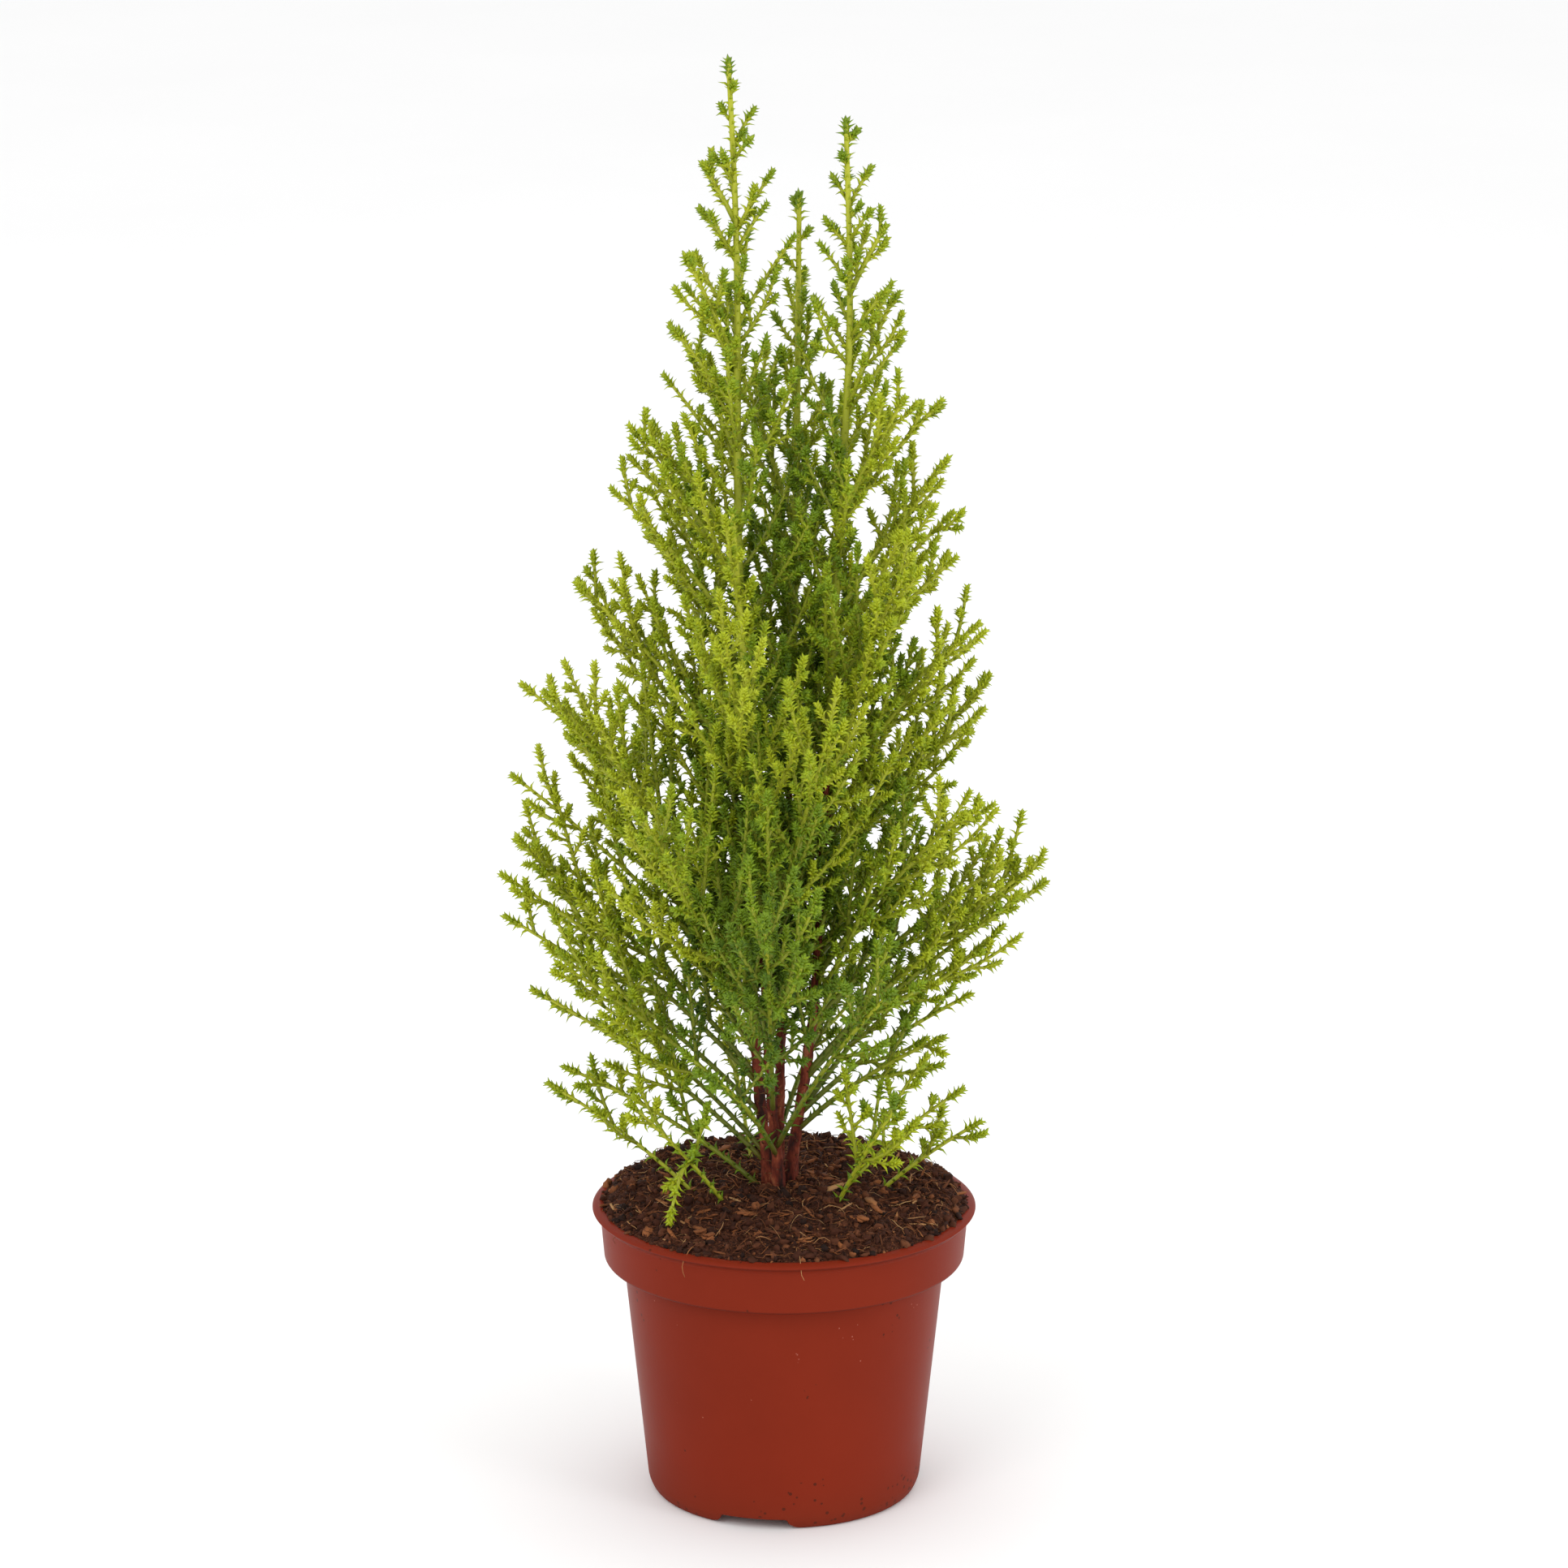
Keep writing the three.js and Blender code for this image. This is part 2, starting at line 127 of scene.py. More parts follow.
def unit(vectors):
    """The vectors at length 1."""
    vectors = np.asarray(vectors, float)
    return vectors / np.maximum(np.linalg.norm(vectors, axis=-1, keepdims=True), 1e-12)


def eased(value, start, end):
    """How far a value is from start to end, 0 to 1."""
    return min(1.0, max(0.0, (value - start) / (end - start)))


def leader_axis(name):
    """The middle of each of a leader's rings and its radius there, from the foot up."""
    points = node_points(name)
    points = points[points[:, 2].argsort()]
    rings = np.split(points, np.flatnonzero(np.diff(points[:, 2]) > RING_GAP) + 1)
    middles = np.array([ring.mean(0) for ring in rings])
    radii = np.array([np.linalg.norm(ring - ring.mean(0), axis=1).max() for ring in rings])
    return middles, radii


LEADER_AXES = {quarter: leader_axis(f"leader_{quarter}") for quarter in QUARTERS}


def arched(base, tip):
    """A point to steer by, which bends a shoot from base to tip a little above the straight line."""
    reach = np.linalg.norm((tip - base)[:2])
    return base + ARCH_AT * (tip - base) + ARCH_RISE * reach * UP


def shoot_ends(name, start):
    """The base and the tip of a CAD branch: its corners nearest to and furthest from its start."""
    points = node_points(name)
    away = np.linalg.norm(points - start, axis=1)
    base = points[away < away.min() + BASE_SIZE].mean(0)
    tip = points[np.linalg.norm(points - base, axis=1).argmax()]
    return base, tip


def branch_start(name, quarter):
    """The point of the leader's axis that a branch grows from."""
    middles, _ = LEADER_AXES[quarter]
    fine = np.concatenate([np.linspace(a, b, 12) for a, b in zip(middles, middles[1:])])
    points = node_points(name)
    gaps = np.linalg.norm(points[:, None] - fine[None], axis=2).min(0)
    return fine[gaps.argmin()]


def crown_share(point):
    """A point's height as a share of the crown's."""
    return (point[2] - POT_TOP) / CROWN_HEIGHT


def crown_outline():
    """Heights up the crown, and how far out the tips of the CAD branches are around each."""
    shoots = [node_points(name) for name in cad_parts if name.startswith("branch_")]
    tips = np.array([points[points[:, 2].argmax()] for points in shoots])
    heights = np.linspace(POT_TOP, CROWN_TOP, 24)
    reaches = np.full(len(heights), np.nan)
    for k, height in enumerate(heights):
        near = tips[np.abs(tips[:, 2] - height) < 0.05 * CROWN_HEIGHT + 8 * MM]
        if len(near):
            reaches[k] = np.hypot(near[:, 0], near[:, 1]).mean()
    known = ~np.isnan(reaches)
    return heights, np.interp(heights, heights[known], reaches[known])


CROWN_OUTLINE = crown_outline()


def crown_reach(height):
    """How far out the crown reaches at a height."""
    return float(np.interp(height, *CROWN_OUTLINE))


# ---- Meshes --------------------------------------------------------------------------------------------


def ring_faces(rings, sides):
    """The triangles between rings of vertices that follow one another."""
    index = np.arange(rings * sides).reshape(rings, sides)
    low, high = index[:-1], index[1:]
    low_next, high_next = np.roll(low, -1, 1), np.roll(high, -1, 1)
    halves = [(low, low_next, high_next), (low, high_next, high)]
    return np.concatenate([np.stack(corners, -1).reshape(-1, 3) for corners in halves])


def tube_faces(rings, sides):
    """The triangles of a tube made of rings, closed at both ends."""
    fan = np.arange(1, sides - 1)
    first = np.zeros_like(fan)
    last = (rings - 1) * sides
    ends = [np.stack([first, fan + 1, fan], -1), last + np.stack([first, fan, fan + 1], -1)]
    return np.concatenate([ring_faces(rings, sides), *ends])


def mesh_piece(name, vertices, faces, material, palette=None):
    """A smooth piece made of triangles. palette gives each vertex's place on the palette map."""
    mesh = bpy.data.meshes.new(name)
    faces = np.ascontiguousarray(faces, dtype=np.int32)
    mesh.vertices.add(len(vertices))
    mesh.vertices.foreach_set("co", np.ascontiguousarray(vertices, dtype=np.float32).ravel())
    mesh.loops.add(faces.size)
    mesh.loops.foreach_set("vertex_index", faces.ravel())
    mesh.polygons.add(len(faces))
    mesh.polygons.foreach_set("loop_start", np.arange(0, faces.size, 3, dtype=np.int32))
    mesh.polygons.foreach_set("use_smooth", np.full(len(faces), True))
    if palette is not None:
        layer = mesh.uv_layers.new(name=PALETTE)
        layer.uv.foreach_set("vector", palette[faces.ravel()].astype(np.float32).ravel())
    mesh.update(calc_edges=True)
    mesh.materials.append(material)
    piece = bpy.data.objects.new(name, mesh)
    bpy.context.scene.collection.objects.link(piece)
    return piece


def in_place(piece, slot, *nodes):
    """Rides the piece on the root and hides the CAD nodes that it stands for. slot is not used."""
    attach(piece, "root")
    if nodes:
        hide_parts(*nodes)
    return piece


class Path:
    """A line through points, measured along its length."""

    def __init__(self, points):
        self.points = np.asarray(points, float)
        steps = np.linalg.norm(np.diff(self.points, axis=0), axis=1)
        self.at = np.concatenate([[0.0], np.cumsum(steps)])
        self.length = self.at[-1]

    @classmethod
    def bent(cls, start, steer, end, count=9):
        """A curve from start to end that bends towards steer."""
        share = np.linspace(0, 1, count)[:, None]
        points = start * (1 - share) ** 2 + 2 * steer * share * (1 - share) + end * share**2
        return cls(points)

    def place(self, distance):
        """The points at distances along the path."""
        return np.stack([np.interp(distance, self.at, self.points[:, k]) for k in range(3)], -1)

    def ahead(self, distance):
        """The directions in which the path runs at distances along it."""
        reach = self.length * 0.04 + 1e-6
        after = self.place(np.minimum(distance + reach, self.length))
        return unit(after - self.place(np.maximum(np.asarray(distance) - reach, 0)))

    def sides(self, distance):
        """Two directions square to the path, which don't spin along it."""
        ahead = self.ahead(distance)
        chord = unit(self.points[-1] - self.points[0])
        guide = unit(np.cross(chord, (0.31, 0.95, 0.05) if abs(chord[1]) < 0.8 else (1.0, 0.1, 0.0)))
        one = unit(guide - (ahead @ guide)[..., None] * ahead)
        return one, np.cross(ahead, one)

    def leaving(self, distance, turn, angle):
        """The direction of a shoot that leaves the path at an angle to it, on the side that turn gives."""
        one, other = self.sides(distance)
        out = math.cos(turn) * one + math.sin(turn) * other
        return math.cos(angle) * self.ahead(distance) + math.sin(angle) * out


class Growth:
    """The twigs and needles of one piece, gathered and then made into one mesh."""

    # A needle's corners are three at its foot, three at its middle and its tip.
    NEEDLE_FACES = np.array(
        [
            (0, 1, 4), (0, 4, 3), (1, 2, 5), (1, 5, 4), (2, 0, 3), (2, 3, 5),
            (3, 4, 6), (4, 5, 6), (5, 3, 6), (0, 2, 1),
        ]
    )

    def __init__(self):
        self.vertices, self.faces, self.palette, self.count = [], [], [], 0

    def add(self, vertices, faces, palette):
        self.vertices.append(vertices)
        self.faces.append(faces + self.count)
        self.palette.append(palette)
        self.count += len(vertices)

    def twig(self, path, thick, thin, young_from, young_to, sides=5, step=6 * MM):
        """A tapering tube. Its palette goes from woody, 0, to green, 1."""
        rings = max(3, int(path.length / step) + 1)
        distance = np.linspace(0, path.length, rings)
        one, other = path.sides(distance)
        radius = np.linspace(thick, thin, rings)
        angle = np.arange(sides) * 2 * math.pi / sides
        out = np.cos(angle)[None, :, None] * one[:, None] + np.sin(angle)[None, :, None] * other[:, None]
        vertices = path.place(distance)[:, None] + radius[:, None, None] * out
        palette = np.empty((rings, sides, 2))
        palette[..., 0] = TWIG_TONE + 0.03 * np.cos(angle)[None]
        palette[..., 1] = np.linspace(young_from, young_to, rings)[:, None]
        palette[..., 1] += 0.02 * np.sin(angle)[None]
        self.add(vertices.reshape(-1, 3), tube_faces(rings, sides), palette.reshape(-1, 2))

    def needles(self, feet, inner, outer, length, width, tone, woody=False):
        """Awl-shaped needles. Each leaves its foot along inner and ends along outer. Woody ones are dead."""
        count = len(feet)
        side = unit(np.cross(inner, outer) + 1e-9)
        back = unit(np.cross(side, inner))
        middle = feet + inner * (length * 0.5)[:, None]
        tip = middle + outer * (length * 0.5)[:, None]
        half = (width * 0.5)[:, None]
        vertices = np.stack(
            [
                feet - side * half,
                feet + side * half,
                feet - back * half * 1.5,
                middle - side * half * 0.8,
                middle + side * half * 0.8,
                middle - back * half * 1.15,
                tip,
            ],
            axis=1,
        )
        shift = np.array([-0.012, 0.012, 0.0, -0.009, 0.009, 0.0, 0.0])
        palette = np.empty((count, 7, 2))
        green = DEEPEST + (BRIGHTEST - DEEPEST) * np.clip(tone, 0.0, 1.0)[:, None]
        palette[..., 0] = (TWIG_TONE if woody else green) + shift
        palette[..., 1] = np.array([0.06, 0.06, 0.0, 0.5, 0.5, 0.5, 1.0]) * (0.4 if woody else 1.0)
        faces = (np.arange(count) * 7)[:, None, None] + self.NEEDLE_FACES
        self.add(vertices.reshape(-1, 3), faces.reshape(-1, 3), palette.reshape(-1, 2))

    def piece(self, name, material):
        """The piece that all of it makes together."""
        vertices, faces, palette = map(np.concatenate, (self.vertices, self.faces, self.palette))
        return mesh_piece(name, vertices, faces, material, palette)


# ---- Shoots --------------------------------------------------------------------------------------------


# How far before the end of a shoot the pairs of its rosette stand, as shares of the rosette's length
ROSETTE_PAIRS = np.array([1.0, 0.82, 0.66, 0.5, 0.36, 0.22, 0.1, 0.0])


def clad(growth, path, rng, leaf, tone, start=0.0, size=1.0, until=1.0, woody=False):
    """Covers a shoot with pairs of needles, each pair turned square to the last, and ends it in a rosette.

    tone is one number, or the tones at the shoot's foot and at its end. Low in the shade, shoots are lax:
    their needles are longer and stand further apart. A shoot that stops short of its end has no rosette.
    """
    lax = 0.0 if woody else np.interp(crown_share(path.points[0]), [0.12, 0.35], [1.0, 0.0])
    size *= 1 + 0.18 * lax
    step = leaf.pair_spacing * (1.3 if woody else 1 + 0.45 * lax)
    rosette = min(leaf.rosette_length * max(1.0, size), path.length * 0.5)
    along = np.arange(start + step * rng.uniform(0.2, 0.8), path.length * until - rosette, step)
    distance = along + rng.normal(0, step * 0.12, len(along))
    closed = np.zeros(len(along))
    if until == 1.0:
        closing = path.length - rosette * ROSETTE_PAIRS
        distance = np.concatenate([distance, closing])
        closed = np.concatenate([closed, np.linspace(0.1, 1.0, len(closing))])
    distance, closed = np.repeat(np.clip(distance, 0, path.length), 2), np.repeat(closed, 2)
    count = len(distance)
    if not count:
        return
    turn = rng.uniform(0, 2 * math.pi) + np.repeat(np.arange(count // 2), 2) * math.pi / 2
    turn = turn + np.tile([0.0, math.pi], count // 2) + rng.normal(0, 0.22, count)
    ahead = path.ahead(distance)
    one, other = path.sides(distance)
    out = np.cos(turn)[:, None] * one + np.sin(turn)[:, None] * other
    spread = (leaf.needle_angle + np.radians(rng.normal(0, 6, count))) * (1 - 0.6 * closed)
    inner_spread, outer_spread = spread * 0.8, spread * 1.3
    inner = np.cos(inner_spread)[:, None] * ahead + np.sin(inner_spread)[:, None] * out
    outer = np.cos(outer_spread)[:, None] * ahead + np.sin(outer_spread)[:, None] * out
    length = leaf.needle_length * size * rng.uniform(0.8, 1.15, count) * (1 - 0.3 * closed)
    width = leaf.needle_width * rng.uniform(0.88, 1.12, count) * (0.6 if woody else 0.75 + 0.25 * size)
    width *= 1 + 0.35 * (closed > 0)
    tones = np.interp(distance / path.length, [0.0, 1.0], np.broadcast_to(tone, 2))
    shade = leaf.rosette_shade * np.interp(crown_share(path.points[-1]), [0.5, 0.85], [0.3, 1.0])
    tones += rng.normal(0, 0.05, count) - shade * (closed > 0)
    foot = (1.5 if woody else 0.25) * MM  # a needle's distance from the middle of its shoot
    growth.needles(path.place(distance) + out * foot, inner, outer, length, width, tones, woody)


def twig_age_and_shade(tone):
    """How green a young twig is, so that it goes with the tone of its needles, painted shade included."""
    return min(1.0, 0.5 + 0.45 * max(0.0, tone))


def spur(growth, path, distance, turn, length, rng, leaf, tone, angle=45, rise=0.3, size=0.92):
    """A short side shoot of a plume."""
    base = path.place(distance)
    way = path.leaving(distance, turn, math.radians(angle + rng.normal(0, 6)))
    end = base + length * unit(way + rise * UP)
    side = Path.bent(base, base + 0.5 * length * way, end, 5)
    growth.twig(side, 0.6 * MM, 0.48 * MM, twig_age_and_shade(tone), twig_age_and_shade(tone + 0.1), sides=4, step=4 * MM)
    clad(growth, side, rng, leaf, tone, 0.8 * MM, size)


def limb(growth, path, rng, leaf, tone, spurs=1.0):
    """A feathery shoot along a path, with spurs all round it. spurs scales their length."""
    thick, thin = (0.62 + 3.5 * path.length) * MM, 0.52 * MM
    growth.twig(path, thick, thin, twig_age_and_shade(tone - 0.15), twig_age_and_shade(tone + 0.15))
    clad(growth, path, rng, leaf, (tone - 0.14, tone + 0.04), 1.2 * MM)
    distance = leaf.spur_spacing * rng.uniform(0.6, 1.4)
    turn = rng.uniform(0, 2 * math.pi)
    while distance < path.length - 8 * MM:
        room = 0.1 * leaf.spur_length + 0.4 * (path.length - distance)
        length = spurs * min(leaf.spur_length, room) * rng.uniform(0.7, 1.1)
        if length > 3 * MM:
            spur(growth, path, distance, turn, length, rng, leaf, tone + rng.normal(0.02, 0.04))
        turn += math.pi + rng.normal(0, 0.4) if rng.random() < 0.6 else math.pi / 2
        distance += leaf.spur_spacing * rng.uniform(0.7, 1.3)


def plume(growth, base, way, rise, length, rng, leaf, tone):
    """A limb that leaves its base along way and turns up."""
    end = base + length * unit(way + rise * UP + rng.normal(0, 0.07, 3))
    limb(growth, Path.bent(base, base + 0.45 * length * way, end, 9), rng, leaf, tone)


def age_and_shade_tone(point):
    """A needle's tone from its place, part age and part painted shade: dark low in the middle and the front,
    fresh at the edge and the top.
    """
    share = crown_share(point)
    reach = np.hypot(point[0], point[1]) / max(crown_reach(point[2]), 5 * MM)
    # Needles deep in the crown are darker: older foliage, and painted shade.
    out = eased(reach, 0.15, 0.85) ** np.interp(share, [0.2, 0.45], [1.7, 1.0])
    high = eased(share, 0.45, 0.85)
    # Painted shade on the front low down, where the crown above shades it.
    front = max(0.0, -point[1] - abs(point[0])) / (30 * MM) * np.interp(share, [0.3, 0.5], [1.0, 0.0])
    # Lower down the tone is darker still: older foliage, and painted shade.
    tone = np.interp(share, [0.15, 0.4], [0.1, 0.2]) + 0.58 * max(out, 0.85 * high)
    return tone * (1 - 0.5 * min(1.0, front))


def branch_rise(tip):
    """How strongly the plumes of a branch turn up, which is less low down."""
    return np.interp(crown_share(tip), [0.12, 0.35], [0.1, 0.5])


def branch(growth, base, tip, rng, leaf, first=0.12, density=1.0, rise=0.5, thick=1.0 * MM, age=None):
    """A main branch with plumes all round it, which shorten towards its tip.

    The plumes begin at first, a share of its length. Those that would pass the crown's outline are shortened.
    """
    path = Path.bent(base, arched(base, tip), tip, 15)
    age = age or np.interp(crown_share(base), [0.05, 0.5], [0.4, 0.7])
    growth.twig(path, thick, 0.58 * MM, age, 1.0, sides=6)
    clad(growth, path, rng, leaf, (age_and_shade_tone(base), age_and_shade_tone(tip)), 5 * MM)
    last = 0.95
    count = max(3, int(path.length * (last - first) * density / leaf.plume_spacing))
    turn = rng.uniform(0, 2 * math.pi)
    for i in range(count):
        share = first + (last - first) * (i + rng.uniform(0.2, 0.8)) / count
        start = path.place(share * path.length)
        way = path.leaving(share * path.length, turn, math.radians(rng.uniform(26, 44)))
        length = path.length * (0.13 + 0.5 * (1 - share) ** 0.8) * rng.uniform(0.75, 1.15)
        length = min(max(length, 9 * MM), leaf.plume_length)
        end = start + length * unit(way + rise * UP)
        over = np.hypot(end[0], end[1]) / crown_reach(end[2])
        if over > 1.0:
            length /= 1 + 4.0 * (over - 1.0)
        if end[2] > MIX_TOP + 4 * MM:
            plume(growth, start, way, rise, length, rng, leaf, age_and_shade_tone(end) + rng.normal(0, 0.06))
        turn += GOLDEN_TURN
    return path


# ---- Node groups and materials -------------------------------------------------------------------------


def new_group(name, inputs, outputs):
    """A shader node group with the named sockets, or None if it has been made already."""
    if name in bpy.data.node_groups:
        return None
    group = bpy.data.node_groups.new(name, "ShaderNodeTree")
    for label, kind, value in inputs:
        socket = group.interface.new_socket(label, in_out="INPUT", socket_type=kind)
        socket.default_value = value
    for label, kind in outputs:
        group.interface.new_socket(label, in_out="OUTPUT", socket_type=kind)
    return group


def node(tree, kind, **values):
    """A node with its properties and its unlinked inputs set."""
    made = tree.nodes.new(kind)
    for key, value in values.items():
        if hasattr(made, key):
            setattr(made, key, value)
        else:
            made.inputs[key.replace("_", " ")].default_value = value
    return made


def ramp(tree, stops, source):
    """A colour ramp fed by a socket. stops are (place, colour)."""
    made = tree.nodes.new("ShaderNodeValToRGB")
    elements = made.color_ramp.elements
    while len(elements) < len(stops):
        elements.new(0.5)
    for element, (place, colour) in zip(elements, stops):
        element.position = place
        element.color = (*colour, 1.0)
    tree.links.new(source, made.inputs["Fac"])
    return made.outputs["Color"]


def mixed(tree, factor, first, second, blend="MIX"):
    """A colour mix. factor is a socket or a number."""
    made = tree.nodes.new("ShaderNodeMix")
    made.data_type = "RGBA"
    made.blend_type = blend
    for index, value in ((0, factor), (6, first), (7, second)):
        if isinstance(value, bpy.types.NodeSocket):
            tree.links.new(value, made.inputs[index])
        elif index == 0:
            made.inputs[index].default_value = value
        else:
            made.inputs[index].default_value = (*value, 1.0)
    return made.outputs[2]


def maths(tree, operation, first, second=None, clamp=False):
    """A maths node on sockets or numbers."""
    made = tree.nodes.new("ShaderNodeMath")
    made.operation = operation
    made.use_clamp = clamp
    for index, value in enumerate((first, second)):
        if isinstance(value, bpy.types.NodeSocket):
            tree.links.new(value, made.inputs[index])
        elif value is not None:
            made.inputs[index].default_value = value
    return made.outputs[0]


def material(name, **shader):
    """A new material, its node tree and its Principled shader, with constant values on the shader."""
    made = bpy.data.materials.new(name)
    made.use_nodes = True
    tree = made.node_tree
    principled = tree.nodes["Principled BSDF"]
    for key, value in shader.items():
        principled.inputs[key.replace("_", " ")].default_value = value
    return made, tree, principled


def srgb(*levels):
    """A colour given as it looks on screen, 0 to 255, as linear light."""
    shares = [level / 255 for level in levels]
    return tuple(c / 12.92 if c <= 0.04045 else ((c + 0.055) / 1.055) ** 2.4 for c in shares)


def mottle_group():
    """Object-space blotches and grain: Blotch is broad, Grain is fine, both 0 to 1."""
    inputs = [
        ("Blotch Scale", "NodeSocketFloat", 20.0),
        ("Grain Scale", "NodeSocketFloat", 400.0),
        ("Stretch", "NodeSocketVector", (1.0, 1.0, 1.0)),
    ]
    tree = new_group("Mottle", inputs, [("Blotch", "NodeSocketFloat"), ("Grain", "NodeSocketFloat")])
    if tree is None:
        return bpy.data.node_groups["Mottle"]
    into, out = tree.nodes.new("NodeGroupInput"), tree.nodes.new("NodeGroupOutput")
    place = tree.nodes.new("ShaderNodeTexCoord")
    stretched = tree.nodes.new("ShaderNodeVectorMath")
    stretched.operation = "MULTIPLY"
    tree.links.new(place.outputs["Object"], stretched.inputs[0])
    tree.links.new(into.outputs["Stretch"], stretched.inputs[1])
    for label, detail in (("Blotch", 4.0), ("Grain", 3.0)):
        pattern = node(tree, "ShaderNodeTexNoise", Detail=detail, Roughness=0.6)
        tree.links.new(stretched.outputs[0], pattern.inputs["Vector"])
        tree.links.new(into.outputs[f"{label} Scale"], pattern.inputs["Scale"])
        tree.links.new(pattern.outputs["Fac"], out.inputs[label])
    return tree


def mottled(tree, blotch, grain, stretch=(1.0, 1.0, 1.0)):
    """The mottle group in a material, with its own scales."""
    made = tree.nodes.new("ShaderNodeGroup")
    made.node_tree = mottle_group()
    made.inputs["Blotch Scale"].default_value = blotch
    made.inputs["Grain Scale"].default_value = grain
    made.inputs["Stretch"].default_value = stretch
    return made.outputs["Blotch"], made.outputs["Grain"]


def palette_axes(tree):
    """The palette map's u and v."""
    place = tree.nodes.new("ShaderNodeUVMap")
    place.uv_map = PALETTE
    parts = tree.nodes.new("ShaderNodeSeparateXYZ")
    tree.links.new(place.outputs["UV"], parts.inputs[0])
    return parts.outputs["X"], parts.outputs["Y"]


def foliage_material(leaf):
    """Needles from deep green to yellow-green, on twigs from red-brown wood to yellow-green."""
    made, tree, shader = material("foliage", Roughness=0.5, Specular_IOR_Level=0.35)
    tone, along = palette_axes(tree)
    # The tone holds the needles' age and painted shade, so its darker colours are partly painted shade.
    needle = ramp(
        tree,
        [
            (DEEPEST, leaf.deep_colour),
            (0.5, leaf.middle_colour),
            (0.75, leaf.fresh_colour),
            (BRIGHTEST, leaf.bright_colour),
        ],
        tone,
    )
    foot, blade, tip = (1.06, 1.0, 0.9), (1.0, 1.0, 1.0), (0.84, 0.92, 0.8)
    lengthwise = ramp(tree, [(0.0, foot), (0.35, blade), (1.0, tip)], along)
    needle = mixed(tree, 1.0, needle, lengthwise, "MULTIPLY")
    twig = ramp(
        tree,
        [
            (0.0, srgb(96, 44, 26)),
            (0.3, srgb(104, 66, 34)),
            (0.5, srgb(98, 108, 30)),
            (0.75, srgb(148, 156, 36)),
            (1.0, leaf.twig_colour),
        ],
        along,
    )
    is_needle = maths(tree, "GREATER_THAN", tone, NEEDLES_FROM)
    tree.links.new(mixed(tree, is_needle, twig, needle), shader.inputs["Base Color"])
    return made


def bark_material(stem):
    """Red-brown bark with long, dark cracks and pale, flaking ridges."""
    made, tree, shader = material("bark", Roughness=0.8, Specular_IOR_Level=0.3)
    blotch, grain = mottled(tree, 300.0, 1500.0, (1.0, 1.0, 0.4))
    crack, ridge, flake = srgb(44, 18, 12), srgb(136, 62, 38), srgb(180, 112, 76)
    colour = ramp(tree, [(0.32, crack), (0.47, stem.bark_colour), (0.6, ridge), (0.75, flake)], blotch)
    shade = ramp(tree, [(0.3, (0.5, 0.45, 0.4)), (0.7, (1.15, 1.1, 1.05))], grain)
    colour = mixed(tree, 0.5, colour, shade, "MULTIPLY")
    tree.links.new(colour, shader.inputs["Base Color"])
    bump = node(tree, "ShaderNodeBump", Strength=0.8, Distance=0.6 * MM)
    tree.links.new(maths(tree, "ADD", blotch, grain), bump.inputs["Height"])
    tree.links.new(bump.outputs["Normal"], shader.inputs["Normal"])
    return made


SPLASH_HEIGHT = 22 * MM  # soil and dust cling to the pot up to here


def pot_material(pot):
    """Satin terracotta-red plastic: faint clouding, a fine grain, soil specks, dust, scuffs and painted shade
    in the creases.
    """
    made, tree, shader = material("pot_plastic", Specular_IOR_Level=0.05, IOR=1.49)
    blotch, grain = mottled(tree, 14.0, 900.0)
    clouds = ((0.3, 0.92), (0.5, 1.0), (0.7, 1.07))
    colour = ramp(tree, [(place, tuple(level * c for c in pot.colour)) for place, level in clouds], blotch)
    place = tree.nodes.new("ShaderNodeTexCoord")
    parts = tree.nodes.new("ShaderNodeSeparateXYZ")
    tree.links.new(place.outputs["Object"], parts.inputs[0])
    height = parts.outputs["Z"]
    low = maths(tree, "SUBTRACT", 1.0, maths(tree, "DIVIDE", height, SPLASH_HEIGHT), True)
    cells = node(tree, "ShaderNodeTexVoronoi", Scale=400.0)
    chosen = node(tree, "ShaderNodeTexNoise", Scale=60.0, Detail=2.0)
    for pattern in (cells, chosen):
        tree.links.new(place.outputs["Object"], pattern.inputs["Vector"])
    away, choice = cells.outputs["Distance"], chosen.outputs["Fac"]
    # Soil specks, more of them low down; a film of dust near the floor; and pale scuffs
    where = maths(tree, "ADD", choice, maths(tree, "MULTIPLY", low, 0.24))
    near = maths(tree, "LESS_THAN", away, 0.24)
    speck = maths(tree, "MULTIPLY", near, maths(tree, "GREATER_THAN", where, 0.66))
    colour = mixed(tree, maths(tree, "MULTIPLY", speck, 0.75), colour, srgb(62, 30, 20))
    dust = maths(tree, "MULTIPLY", maths(tree, "MULTIPLY", low, low), maths(tree, "MULTIPLY", blotch, 0.45))
    colour = mixed(tree, dust, colour, srgb(104, 52, 36))
    near = maths(tree, "LESS_THAN", away, 0.1)
    scuff = maths(tree, "MULTIPLY", near, maths(tree, "LESS_THAN", choice, 0.36))
    colour = mixed(tree, maths(tree, "MULTIPLY", scuff, 0.4), colour, srgb(196, 128, 112))
    # Painted shade: dark lines in the creases under the collar and under the lip
    for crease, strength in ((POT_TOP - pot.collar_height, 0.75), (POT_TOP - 0.58 * pot.lip_height, 0.5)):
        off = maths(tree, "ABSOLUTE", maths(tree, "SUBTRACT", height, crease))
        crease_shade = maths(tree, "SUBTRACT", 1.0, maths(tree, "DIVIDE", off, 0.9 * MM), True)
        colour = mixed(tree, maths(tree, "MULTIPLY", crease_shade, strength), colour, srgb(58, 16, 8))
    tree.links.new(colour, shader.inputs["Base Color"])
    rough = maths(tree, "ADD", maths(tree, "MULTIPLY", blotch, 0.16), pot.roughness - 0.08)
    rough = maths(tree, "ADD", rough, maths(tree, "MULTIPLY", low, 0.2), True)
    tree.links.new(rough, shader.inputs["Roughness"])
    bump = node(tree, "ShaderNodeBump", Strength=0.12, Distance=0.2 * MM)
    tree.links.new(grain, bump.inputs["Height"])
    tree.links.new(bump.outputs["Normal"], shader.inputs["Normal"])
    return made


